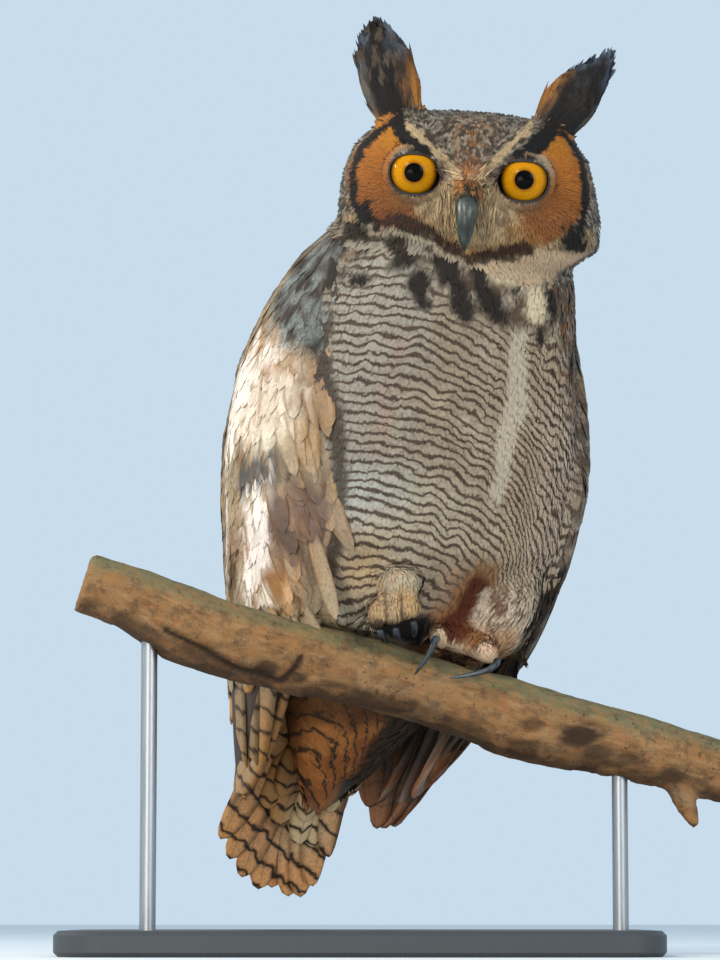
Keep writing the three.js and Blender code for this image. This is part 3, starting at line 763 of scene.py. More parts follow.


# ---------------------------------------------------------------- markings of wings, tail and feet
# Patches of the wing's outside, later ones on top, its own markings with painted sunlight in the near-white
# ones and painted shadow in the narrow dark ones between feathers: colour, strength, angle, height, half
# widths of both.
WING_PATCHES_SUN_AND_SHADE = (
    ("bd9a76", 0.8, 92, 346, 13, 13), ("54402c", 0.85, 102, 350, 2.5, 10), ("e8dfd0", 0.9, 88, 333, 8, 9),
    ("9c6836", 0.75, 84, 325, 5, 3.5), ("efe7da", 0.95, 100, 312, 11, 32), ("dccfbb", 0.8, 80, 300, 14, 24),
    ("8f6c48", 0.6, 62, 290, 4.5, 22), ("474543", 0.95, 80, 268, 14, 12), ("6b4f2e", 0.8, 91, 280, 2.5, 9),
    ("eee6d8", 0.95, 79, 229, 8, 33), ("4c361e", 0.85, 92.5, 214, 3.2, 22), ("dccfb9", 0.8, 101, 232, 5, 30),
    ("6c584b", 0.95, 62, 239, 10, 27), ("8f5f2e", 0.85, 66, 204, 9, 12), ("e6dccb", 0.9, 71, 199, 3, 8),
    ("c79f74", 0.8, 62, 203, 2.5, 9),
)


def paint_wing(points):
    """Pale patches on the outside with painted sunlight in the white and painted shadow between feathers,
    grey shoulders, bands behind, and bands in painted shade on the left wing.
    """
    inside = BODY.inside(points)
    height = inside[:, 2]
    turn = round_trunk(inside)
    angle = np.abs(turn)
    rough = noise(inside, 16) - 0.5
    streak = noise(inside * (1, 1, 0.12), 2.6, shift=6.0) - 0.5
    mottle = smooth(noise(inside, 6, shift=4.0), 0.4, 0.62)
    coat = Coating(len(points), blend(CREAM, TAN, 0.3))
    coat.pepper[:] = 0.3
    for code, strength, spin, level, wide, tall in WING_PATCHES_SUN_AND_SHADE:
        gap = np.hypot((angle - spin) / wide, (height - level) / tall) + 0.5 * rough + 1.6 * streak
        coat.over(code, strength * (1 - smooth(gap, 0.6, 1.2)), pepper=0.15)
    coat.over("9a7450", 0.55 * smooth(streak, 0.08, 0.22))
    shoulder = smooth(height + 20 * rough - 1.6 * np.maximum(angle - 84, 0), 330, 342)
    coat.shade((0.88, 0.83, 0.82), smooth(height, 285, 300))
    coat.shade((0.86, 0.8, 0.83), bell(height - 232, 20))
    coat.over(blend(GREY, DARK, 0.35 + 0.65 * mottle), shoulder, bar=0.1, pepper=0.6)
    coat.shade((1.02, 1.34, 1.65), shoulder)
    rear = smooth(angle, 104, 122)
    # Painted shade: the left wing's outside is brown, grey and dark.
    far = smooth(turn, 40, 60) * smooth(-angle, -88, -70)
    bands = blend(blend(TAN, GREY, smooth(rough, -0.2, 0.2)), DARK, 0.8 * mottle)
    coat.over(bands, rear, bar=0.5, pepper=0.8)
    shade = blend(blend(BROWN, GREY, smooth(rough, -0.2, 0.2)), DARK, 0.7 * mottle)
    coat.over(shade, far, bar=0.3, pepper=0.7)
    # Painted shadow on the left wing's lower part, behind the leg.
    coat.over(BLACK, smooth(turn, 40, 45) * (1 - smooth(turn, 57, 60)) * smooth(-height, -228, -220))
    coat.phase = (-height + 5 * rough) / 13
    return coat


# Creases between the toes of the drawn-up foot, where shade is painted, across and up in world millimetres.
TOE_CREASE_SHADE = (((13.5, 199), (14.5, 184)), ((22.5, 197), (23, 184)))


def paint_foot(points):
    """Pale toes, and the drawn-up fist with painted shade in its creases and painted shadow on its
    underside.
    """
    inside = BODY.inside(points)
    rough = noise(inside, 8) - 0.5
    fine = noise(inside, 3) - 0.5
    coat = Coating(len(points), PALE_TOE)
    coat.pepper[:] = 0.1
    fist = smooth(inside[:, 2], 177, 182) * smooth(-inside[:, 0], 16, 24)
    toes = smooth(-inside[:, 2], -204, -199)
    coat.over(blend("a3957d", "9c8260", toes), 0.9 * fist)
    coat.over(TAN, 0.5 * smooth(rough + 0.4 * fine, 0.0, 0.2))
    coat.over(RUST, 0.45 * smooth(-rough, 0.08, 0.22) * (1 - 0.5 * fist))
    # Painted shade in the creases between the toes.
    for crease in TOE_CREASE_SHADE:
        near = line_distance(points[:, [0, 2]] / MM, crease)
        coat.over("4a3322", 0.7 * fist * (1 - smooth(near + 2 * fine, 0.4, 2.0)))
    # Painted shadow on the fist's underside.
    coat.over(DARK, 0.85 * fist * smooth(-inside[:, 2] - 6 * fine, -188, -184))
    return coat


# ---------------------------------------------------------------- skin
FLESH_PARTS = ("head", "neck", "trunk", "ear", "leg", "foot", "wing")
FLESH = sorted(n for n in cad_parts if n.split("_")[0] in FLESH_PARTS)
COAT_DEPTHS = {"head": 3.6, "neck": 4.0, "trunk": 4.0, "ear": 2.6, "leg": 4.0, "foot": 1.8, "wing": 3.2}
FACE_DEPTH = 2.2
SKIN_VOXEL = 2.4


class Owners:
    """Tells which CAD node a place is nearest to."""

    def __init__(self, names):
        self.names = names
        corners, faces, self.owner = [], [], []
        for number, name in enumerate(names):
            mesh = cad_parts[name].data
            first = len(corners)
            corners += [tuple(v.co) for v in mesh.vertices]
            faces += [tuple(first + i for i in p.vertices) for p in mesh.polygons]
            self.owner += [number] * len(mesh.polygons)
        self.tree = BVHTree.FromPolygons(corners, faces)

    def at(self, points):
        return np.array([self.owner[self.tree.find_nearest(p)[2]] for p in points.tolist()])


owners = Owners(FLESH)


def coat_depth(places, labels):
    """The coat's depth in millimetres, thinner on the face."""
    depth = np.array([COAT_DEPTHS[name.split("_")[0]] for name in FLESH])[labels]
    on_face = smooth(-HEAD.inside(places)[:, 1], 8, 26) * (labels == FLESH.index("head"))
    return between(depth, FACE_DEPTH, on_face)


def evened(values, edges, rounds):
    """Values averaged along a mesh's edges, several times."""
    counts = np.bincount(edges.ravel(), minlength=len(values)) + 1.0
    for _ in range(rounds):
        total = values.copy()
        np.add.at(total, edges[:, 0], values[edges[:, 1]])
        np.add.at(total, edges[:, 1], values[edges[:, 0]])
        values = total / counts
    return values


def keep_largest(bm):
    """Removes the loose small shells of a bmesh."""
    unseen = set(bm.verts)
    shells = []
    while unseen:
        start = unseen.pop()
        shell, queue = {start}, [start]
        while queue:
            for edge in queue.pop().link_edges:
                for vert in edge.verts:
                    if vert in unseen:
                        unseen.remove(vert)
                        shell.add(vert)
                        queue.append(vert)
        shells.append(shell)
    shells.sort(key=len)
    bmesh.ops.delete(bm, geom=[v for shell in shells[:-1] for v in shell], context="VERTS")


def smooth_verts(bm, verts, rounds):
    for _ in range(rounds):
        bmesh.ops.smooth_vert(
            bm, verts=verts, factor=0.5, use_axis_x=True, use_axis_y=True, use_axis_z=True
        )


class EyeFrame:
    """An eye's own axes: ahead along its gaze, aside to the owl's left, and up."""

    def __init__(self, flank):
        self.centre = HEAD.outside(EYES[flank])
        self.ahead = unit(VIEWER - self.centre)
        self.aside = unit(np.cross(self.ahead, HEAD.out_of(np.array([0, 0, 1.0]))) * -1)
        self.up = np.cross(self.ahead, self.aside)
        self.up = self.up * np.sign(self.up[2])
        self.outward = FLANKS[flank]

    def flat(self, off):
        """Distance from the line of sight, and the turn round it, of offsets from the centre."""
        side, rise = off @ self.aside * self.outward, off @ self.up
        return np.hypot(side, rise), np.arctan2(rise, side)

    def round_point(self, reach, turn, forward):
        """A place at a distance from the line of sight; turn 0 points away from the bill."""
        aside = self.aside * (reach * math.cos(turn)) * self.outward
        upward = self.up * (reach * math.sin(turn))
        return Vector(self.centre + (aside + upward + self.ahead * forward) * MM)

    def opened(self, points):
        """How far places are in front of the centre and from the line of sight, and the lids' edge there."""
        off = (points - self.centre) / MM
        reach, turn = self.flat(off)
        return off @ self.ahead, reach, np.array([opening_reach(t) for t in turn])


EYE_FRAMES = {flank: EyeFrame(flank) for flank in EYES}
LID_REACH = 17.5  # where the lids run into the skin, from the line of sight
SOCKET_RINGS = 6
LID_RINGS = 9
LID_COLUMNS = 56
OPENING = {"outer": 13.0, "inner": 13.9, "up": 9.6, "down": 11.2}


def opening_reach(turn):
    """Distance of the lid's edge from the line of sight; turn 0 points away from the bill."""
    cos, sin = math.cos(turn), math.sin(turn)
    wide = OPENING["outer"] if cos > 0 else OPENING["inner"]
    tall = OPENING["up"] if sin > 0 else OPENING["down"]
    power = 2.25
    return (abs(cos / wide) ** power + abs(sin / tall) ** power) ** (-1 / power)


def ringed(bm, rings, columns):
    """Adds rings of vertices round one, joined by faces, and gives each (vertex, ring number, turn)."""
    made = [(bm.verts.new(), 0, 0.0)]
    rows = [[made[0][0]] * columns]
    for ring in range(1, rings):
        row = [(bm.verts.new(), ring, 2 * math.pi * number / columns) for number in range(columns)]
        rows.append([vert for vert, _, _ in row])
        made += row
    for inner, outer in zip(rows, rows[1:]):
        for i in range(columns):
            corners = (inner[i - 1], outer[i - 1], outer[i], inner[i])
            bm.faces.new(list(dict.fromkeys(corners)))
    return made


def add_lids(bm, eye):
    """Cuts the skin round an eye and joins it to lids that line the eyeball and its socket."""
    skin = Surface(mesh_of(bm, keep=True))
    near = [
        v for v in bm.verts
        if (np.array(v.co) - eye.centre) @ eye.ahead > 0
        and np.linalg.norm(np.cross(np.array(v.co) - eye.centre, eye.ahead)) < (LID_REACH + 1.2) * MM
    ]
    bmesh.ops.delete(bm, geom=near, context="VERTS")
    edge = [e for e in bm.edges if e.is_boundary]
    rings = SOCKET_RINGS + LID_RINGS
    made = ringed(bm, rings, LID_COLUMNS)
    for vert, ring, turn in made:
        vert.co = lid_place(eye, skin, ring, turn)
    outer = {vert for vert, ring, _ in made if ring == rings - 1}
    loop = [e for e in bm.edges if e.verts[0] in outer and e.verts[1] in outer]
    bmesh.ops.bridge_loops(bm, edges=edge + loop)


def lid_place(eye, skin, ring, turn):
    """The first rings line the socket from its rear; the others run over the lid to the skin."""
    polar = math.asin(min(opening_reach(turn) / (EYE_RADIUS + 0.2), 1))
    if ring < SOCKET_RINGS:
        bend = between(math.pi, polar, ring / (SOCKET_RINGS - 1))
        radius = EYE_RADIUS + 0.35
        return eye.round_point(radius * math.sin(bend), turn, radius * math.cos(bend))
    share = (ring - SOCKET_RINGS) / (LID_RINGS - 1)
    radius = EYE_RADIUS + 1.1
    hit = skin.tree.ray_cast(eye.round_point(LID_REACH, turn, 40), Vector(-eye.ahead))
    level = (np.array(hit[0]) - eye.centre) @ eye.ahead / MM
    along = between(radius * math.sin(polar), LID_REACH, share)
    rise = between(radius * math.cos(polar), level, share)
    fold = 0.55 * math.sin(share * 3.2 * math.pi) * math.sin(share * math.pi)
    rise += fold + 0.7 * math.sin(share * math.pi)
    return eye.round_point(along, turn, rise)


def build_skin():
    """The flesh nodes in one skin, sunk by the coat's depth, with lids round both eyes."""
    bm = cad_copy([*FLESH, "eye_left", "eye_right", "bill_upper", "bill_lower"])
    voxels = {"mode": "VOXEL", "voxel_size": SKIN_VOXEL * MM}
    bm = with_modifiers(bm, ("REMESH", voxels))
    keep_largest(bm)
    smooth_verts(bm, bm.verts, 3)
    bm.normal_update()
    places = places_of(bm)
    normals = np.array([v.normal for v in bm.verts])
    bm.verts.index_update()
    edges = np.array([[v.index for v in e.verts] for e in bm.edges])
    depth = evened(coat_depth(places, owners.at(places)), edges, 8)
    move_to(bm, places - normals * depth[:, None] * MM)
    smooth_verts(bm, bm.verts, 2)
    for eye in EYE_FRAMES.values():
        add_lids(bm, eye)
    bmesh.ops.recalc_face_normals(bm, faces=bm.faces)
    return bm


# ---------------------------------------------------------------- feathers
def tube_faces(rings, around):
    """Faces of a closed strip: a first point, rings of points, and a last point."""
    last = 1 + rings * around
    faces = []
    for i in range(around):
        j = (i + 1) % around
        faces.append((0, 1 + j, 1 + i))
        faces += [
            (1 + r * around + i, 1 + r * around + j, 1 + (r + 1) * around + j, 1 + (r + 1) * around + i)
            for r in range(rings - 1)
        ]
        faces.append((last - around + i, last - around + j, last))
    return faces


class Shape:
    """A kind of feather: its outline along the shaft and its cross section."""

    def __init__(self, shares, fullness, across, rise):
        self.shares = np.array(shares)  # places along the shaft, from the root 0 to the tip 1
        self.fullness = np.array(fullness)  # half width at each ring, as a share of the widest
        self.across = np.array(across, float)
        self.rise = np.array(rise, float)
        self.faces = tube_faces(len(fullness), len(across))
        beneath = (len(across) + 1) // 2  # the strips from this one on form the underside
        each = len(self.faces) // len(across)
        self.signs = [-1.0 if i // each >= beneath else 1.0 for i in range(len(self.faces))]


LEAF = Shape([0, 0.2, 0.52, 0.82, 1], [0.7, 1.0, 0.66], [-1, 0, 1], [0, 1, 0])
COVERT = Shape(
    [0, 0.15, 0.38, 0.6, 0.78, 0.92, 1], [0.55, 0.9, 1.0, 0.94, 0.66],
    [-1, -0.45, 0.45, 1, 0], [0, 0.8, 0.8, 0, -0.3],
)
WISP = Shape([0, 0.35, 0.75, 1], [1.0, 0.7], [-1, 0, 1], [0, 1, 0])
VANE = Shape(
    [0, 0.06, 0.18, 0.34, 0.5, 0.65, 0.78, 0.88, 0.95, 0.985, 1],
    [0.3, 0.68, 0.92, 1.0, 0.99, 0.93, 0.8, 0.6, 0.34],
    [-1, -0.5, 0, 0.5, 1, 0.5, 0, -0.5], [0, 0.7, 1, 0.7, 0, -0.6, -0.7, -0.6],
)


LOOSE_FROM = 4.0  # millimetres from the surface at which a feather stops following it


def march(surface, roots, normals, shares, lengths, lie, wobble):
    """Places and normals along feathers that follow a surface, each turned aside by its wobble."""
    at, up = roots, normals
    places, ups, ways = [], [], []
    for step in np.diff(shares, append=shares[-1]):
        way = lie(at)
        way = unit(way - (way * up).sum(axis=1, keepdims=True) * up)
        way = way * np.cos(wobble)[:, None] + np.cross(up, way) * np.sin(wobble)[:, None]
        places.append(at)
        ups.append(up)
        ways.append(way)
        ahead = at + way * (lengths * step * MM)[:, None]
        found, found_up, _ = surface.nearest(ahead)
        free = np.linalg.norm(found - ahead, axis=1) > LOOSE_FROM * MM
        free |= (up * found_up).sum(axis=1) < 0.5
        at = np.where(free[:, None], ahead, found)
        up = np.where(free[:, None], up, found_up)
    return (np.stack(part, axis=1) for part in (places, ups, ways))


def feather_mesh(shape, places, ups, ways, left, right, heights, thickness, droop):
    """Feather vertices (feather, vertex, xyz) from rows along each shaft; sizes in millimetres."""
    places = places + ups * heights[..., None] * MM
    sides = np.cross(ways, ups)
    inner = slice(1, -1)
    wide = np.where(shape.across < 0, left[:, None], right[:, None])[:, None, :] * shape.across
    wide = wide * shape.fullness[None, :, None]
    lift = thickness[:, None, None] * shape.rise - droop * np.abs(wide)
    rings = places[:, inner, None] + MM * (
        sides[:, inner, None] * wide[..., None]
        + ups[:, inner, None] * lift[..., None]
    )
    count = len(places)
    return np.concatenate([places[:, :1], rings.reshape(count, -1, 3), places[:, -1:]], axis=1)


def soft_normals(shape, ups, ways, roundness):
    """Normals that follow the surface under the feathers, with a little of each feather's roundness."""
    sides = np.cross(ways, ups)[:, 1:-1, None]
    rings = ups[:, 1:-1, None] + sides * (roundness * shape.across)[:, None]
    rings = unit(rings).reshape(len(ups), -1, 3)
    return np.concatenate([ups[:, :1], rings, ups[:, -1:]], axis=1)


def vane_values(shape, count, lengths, seeds):
    """Where each vertex lies in its own feather: across, along in millimetres, and a seed."""
    rings = len(shape.fullness)
    across = np.concatenate([[0], np.tile(shape.across, rings), [0]])
    along = np.concatenate([[0], np.repeat(shape.shares[1:-1], len(shape.across)), [1]])
    values = np.empty((count, len(across), 3))
    values[..., 0] = across
    values[..., 1] = along * lengths[:, None]
    values[..., 2] = seeds[:, None]
    return values, across, along


PATCH = 0.0026  # width and length of each feather's patch, where the whole map is 1


def joined_mesh(name, points, faces):
    """A mesh from points and arrays of faces, each array's with as many corners, and all corners."""
    mesh = bpy.data.meshes.new(name)
    corners = np.concatenate([group.ravel() for group in faces]).astype(np.int32)
    sizes = np.concatenate([np.full(len(group), group.shape[1]) for group in faces])
    mesh.vertices.add(len(points))
    mesh.vertices.foreach_set("co", points.astype(np.float32).ravel())
    mesh.loops.add(len(corners))
    mesh.loops.foreach_set("vertex_index", corners)
    mesh.polygons.add(len(sizes))
    mesh.polygons.foreach_set("loop_start", (np.cumsum(sizes) - sizes).astype(np.int32))
    mesh.update(calc_edges=True)
    return mesh, corners


def plumage(name, finish, shape, points, coat, vane, unwrap, normals=None):
    """One piece of the coat, from points (feather, vertex, xyz) and each root's place on the map."""
    values, across, along = vane
    count, size = points.shape[:2]
    starts = np.arange(count)[:, None] * size
    faces = [starts + np.array(face) for face in shape.faces]
    mesh, corners = joined_mesh(name, points.reshape(-1, 3), faces)
    add_values(mesh, "tint", np.column_stack([coat.tint, coat.pepper]))
    add_values(mesh, "bars", np.column_stack([coat.phase, coat.bar, values[..., 2].ravel()]))
    add_values(mesh, "vane", values.reshape(-1, 3))
    patch = np.column_stack([across * 0.5, along - 0.5]) * PATCH
    places = (unwrap[:, None, :] + patch).reshape(-1, 2)
    mesh.uv_layers.new(name="OFBake").data.foreach_set("uv", places[corners].astype(np.float32).ravel())
    mesh.materials.append(finish.material)
    mesh.shade_smooth()
    if normals is not None:
        signs = np.repeat(shape.signs, [count * len(face) for face in shape.faces])
        normals = normals.reshape(-1, 3)[corners] * signs[:, None]
        mesh.normals_split_custom_set(normals.astype(np.float32))
    return new_object(name, mesh)


DARTS = 2.6  # how many places are tried for each square of the spacing
CLOSEST = 0.8  # the least distance between places, as a share of the spacing


def scatter(surface, triangles, spacing, rng):
    """Evenly spread random places on some triangles."""
    corners = surface.places[surface.triangles[triangles]]
    cross = np.cross(corners[:, 1] - corners[:, 0], corners[:, 2] - corners[:, 0])
    area = np.linalg.norm(cross, axis=1) / 2 / MM**2
    wanted = DARTS * area / spacing**2
    counts = np.floor(wanted + rng.random(len(wanted))).astype(int)
    chosen = np.repeat(np.arange(len(triangles)), counts)
    first, second = rng.random((2, len(chosen)))
    flip = first + second > 1
    first, second = np.where(flip, 1 - first, first), np.where(flip, 1 - second, second)
    origin = corners[chosen, 0]
    places = origin + first[:, None] * (corners[chosen, 1] - origin)
    places += second[:, None] * (corners[chosen, 2] - origin)
    order = rng.permutation(len(chosen))
    tree = KDTree(len(order))
    for number, place in enumerate(places[order].tolist()):
        tree.insert(place, number)
    tree.balance()
    alive = np.ones(len(order), bool)
    reach = spacing[chosen[order]] * MM * CLOSEST
    kept = []
    for number, place in enumerate(places[order].tolist()):
        if alive[number]:
            kept.append(number)
            for _, other, _ in tree.find_range(place, reach[number]):
                alive[other] = False
    return places[order[np.array(kept, int)]]


# ---------------------------------------------------------------- the lie of the coat
def face_lie(points):
    """Out from each eye, down beside the bill, up over the brows and back over the crown."""
    inside = HEAD.inside(points)
    x, y, z = inside.T
    side = np.sign(x)
    back = smooth(y, -10, 40)
    way = np.stack([0.15 * side, 1 + 0 * x, -0.3 - 0.9 * back - 0.9 * smooth(-z, 8, 30)], axis=1)
    front = smooth(-y, 12, 24)
    eye = np.where(side[:, None] > 0, EYES["left"], EYES["right"])
    off = inside - eye
    off[:, 1] = 0
    reach = np.linalg.norm(off, axis=1)
    way = blend(way, unit(off), front * (1 - smooth(reach, 34, 44)))
    lore = front * bell(x, 13) * smooth(-z, -3, 6)
    way = blend(way, np.stack([0.35 * side, 0 * x, -1 + 0 * x], axis=1), lore)
    forehead = front * bell(x, 11) * smooth(z, -2, 6)
    way = blend(way, np.array([0.0, 0.8, 0.6]), forehead)
    for flank, side_sign in FLANKS.items():
        near = 1 - smooth(line_distance(inside[:, [0, 2]], BROWS[flank]), 4, 8)
        brow = np.array([side_sign * 0.72, 0.25, 0.62])
        way = blend(way, brow, near * front)
    return HEAD.out_of(unit(way))


def cere_lie(points):
    """Down over the root of the bill."""
    inside = HEAD.inside(points)
    aside = 0.35 * np.clip(inside[:, 0] / 6, -1, 1)
    forward, upward = np.full(len(points), -0.4), np.full(len(points), -1.0)
    return HEAD.out_of(unit(np.stack([aside, forward, upward], axis=1)))


def body_lie(points):
    return BODY.out_of(trunk_lie(BODY.inside(points)))


def wing_lie(points):
    return np.tile(BODY.out_of(np.array([0, 0.12, -1.0])), (len(points), 1))


def front_lie(points):
    """Down and forward over the right wing's front edge."""
    turn = np.radians(round_trunk(BODY.inside(points)))
    forward = np.stack([np.cos(turn), np.sin(turn), 0 * turn], axis=1)
    return BODY.out_of(unit(0.3 * forward - (0, 0, 1.0)))


def tuft_lie(flank):
    start, end = TUFT_AXES[flank]
    way = HEAD.out_of(unit(end - start))
    return lambda points: np.tile(way, (len(points), 1))


def tuft_room(points, flank):
    """Millimetres from places inside a tuft to its surface, along its lie."""
    start, end = TUFT_AXES[flank]
    way = Vector(HEAD.out_of(unit(end - start)))
    tree = BVHTree.FromBMesh(cad_copy([f"ear_tuft_{flank}"]))
    hits = [tree.ray_cast(Vector(p), way)[3] for p in points.tolist()]
    return np.array([2.5 if hit is None else max(hit / MM + 1.0, 2.5) for hit in hits])


def foot_lie(points):
    inside = BODY.inside(points)
    down = np.tile(np.array([0, -0.35, -1.0]), (len(points), 1))
    down[:, 0] += 0.5 * np.sign(inside[:, 0] - 12) * smooth(-inside[:, 2], -178, -160)
    return BODY.out_of(unit(down))


# ---------------------------------------------------------------- where feathers go on their maps
def body_map(points):
    inside = BODY.inside(points)
    return np.column_stack([round_trunk(inside) / 360 + 0.5, inside[:, 2] / 450])


def head_map(points):
    inside = HEAD.inside(points) + np.array([0, 0, 10.0])
    rise = np.arccos(inside[:, 2] / np.linalg.norm(inside, axis=1)) / math.pi
    return np.column_stack([np.arctan2(inside[:, 0], -inside[:, 1]) / (2 * math.pi) + 0.5, rise])


def evenly_mapped(places):
    """Map places stretched to fill the square, with a margin for the patches."""
    low, high = places.min(axis=0), places.max(axis=0)
    return 0.005 + 0.99 * (places - low) / np.maximum(high - low, 1e-6)


# ---------------------------------------------------------------- tracts of small feathers
VARIETY = 0.14  # how much feathers differ in length and width, as a share


def grow(skin, triangles, finish, name, slot, spacing, length, width, depth, lie, paint_of, unwrap,
         fineness=None, shape=LEAF, thickness=0.16, pull=0.0, stray=0.35, wobble=7.0, loose=0.08,
         uneven=0.1, limit=None, roundness=0.12):
    """One piece of the coat, on some triangles of the skin. Sizes are in millimetres.

    lie gives the feathers' directions, paint_of their colours, and unwrap their roots' places on
    the map. fineness scales them from place to place, and limit is the longest that each may be.
    pull and stray move the places where colours are read towards the feather's tip, and at random.
    uneven is how much feathers differ in brightness, and roundness how far their sides are shaded
    as turned away.
    """
    rng = np.random.default_rng([SEED, *name.encode()])
    centres = skin.places[skin.triangles[triangles]].mean(axis=1)
    scale = np.ones(len(triangles)) if fineness is None else fineness(centres)
    roots = scatter(skin, triangles, spacing * scale, rng)
    count = len(roots)
    size = np.ones(count) if fineness is None else fineness(roots)
    _, normals, _ = skin.nearest(roots)
    vary = rng.normal(0, 1, (count, 4)).clip(-2, 2)
    lengths = length * size * (1 + VARIETY * vary[:, 0])
    if limit:
        lengths = np.minimum(lengths, limit(roots) * (1 + 0.03 * vary[:, 2]))
    turns = np.radians(wobble) * vary[:, 1]
    places, ups, ways = march(skin, roots, normals, shape.shares, lengths, lie, turns)
    steady = (ups[:, 0] * ups[:, -2]).sum(axis=1) > 0.3
    roots, places, ups, ways, vary, size, lengths = (
        part[steady] for part in (roots, places, ups, ways, vary, size, lengths)
    )
    count = len(roots)
    lift = depth * np.minimum(size * 1.1, 1) * (1 + loose * vary[:, 2])
    heights = lift[:, None] * (0.12 + 0.88 * shape.shares[None, :]) - 0.3
    half = width / 2 * size * (1 + VARIETY * vary[:, 3])
    points = feather_mesh(shape, places, ups, ways, half, half, heights, thickness * size, 0.05)
    seeds = rng.random(count)
    strays = rng.normal(0, stray * MM, (count, 1, 3))
    at = between(points, places[:, -2:-1], pull) + strays
    coat = paint_of(at.reshape(-1, 3))
    coat.phase += np.repeat(seeds - 0.5, points.shape[1]) * 0.12
    shade = 1 + uneven * np.repeat(rng.normal(0, 1, count).clip(-1.8, 1.8), points.shape[1])
    coat.tint *= shade[:, None]
    vane = vane_values(shape, count, lengths, seeds)
    normals = soft_normals(shape, ups, ways, roundness)
    plumage(name, finish, shape, points, coat, vane, evenly_mapped(unwrap(roots)), normals)


def face_fineness(points):
    """Feathers are smallest between the eyes and the bill, and grow towards the rim."""
    inside = HEAD.inside(points)
    reach = np.minimum(*(np.linalg.norm((inside - eye)[:, [0, 2]], axis=1) for eye in EYES.values()))
    outer = smooth(reach, 24, 44) * smooth(np.abs(inside[:, 0]), 12, 40)
    return 0.58 + 0.24 * smooth(reach, 17, 26) + 0.38 * outer


FIST = np.array([0.022, -0.058, 0.2])  # the middle of the drawn-up foot


def clear_of_fist(points):
    """Millimetres a belly feather may reach before it would hang over the drawn-up foot."""
    off = (points - FIST) / MM
    across = np.abs(off[:, 0]) < 18
    above = off[:, 2] - 13
    return np.where(across & (above > -4), np.maximum(above, 4.0), 40.0)


def outward(points):
    """Level directions away from the trunk's axis."""
    turn = np.radians(round_trunk(BODY.inside(points)))
    return BODY.out_of(np.stack([np.sin(turn), -np.cos(turn), 0 * turn], axis=1))


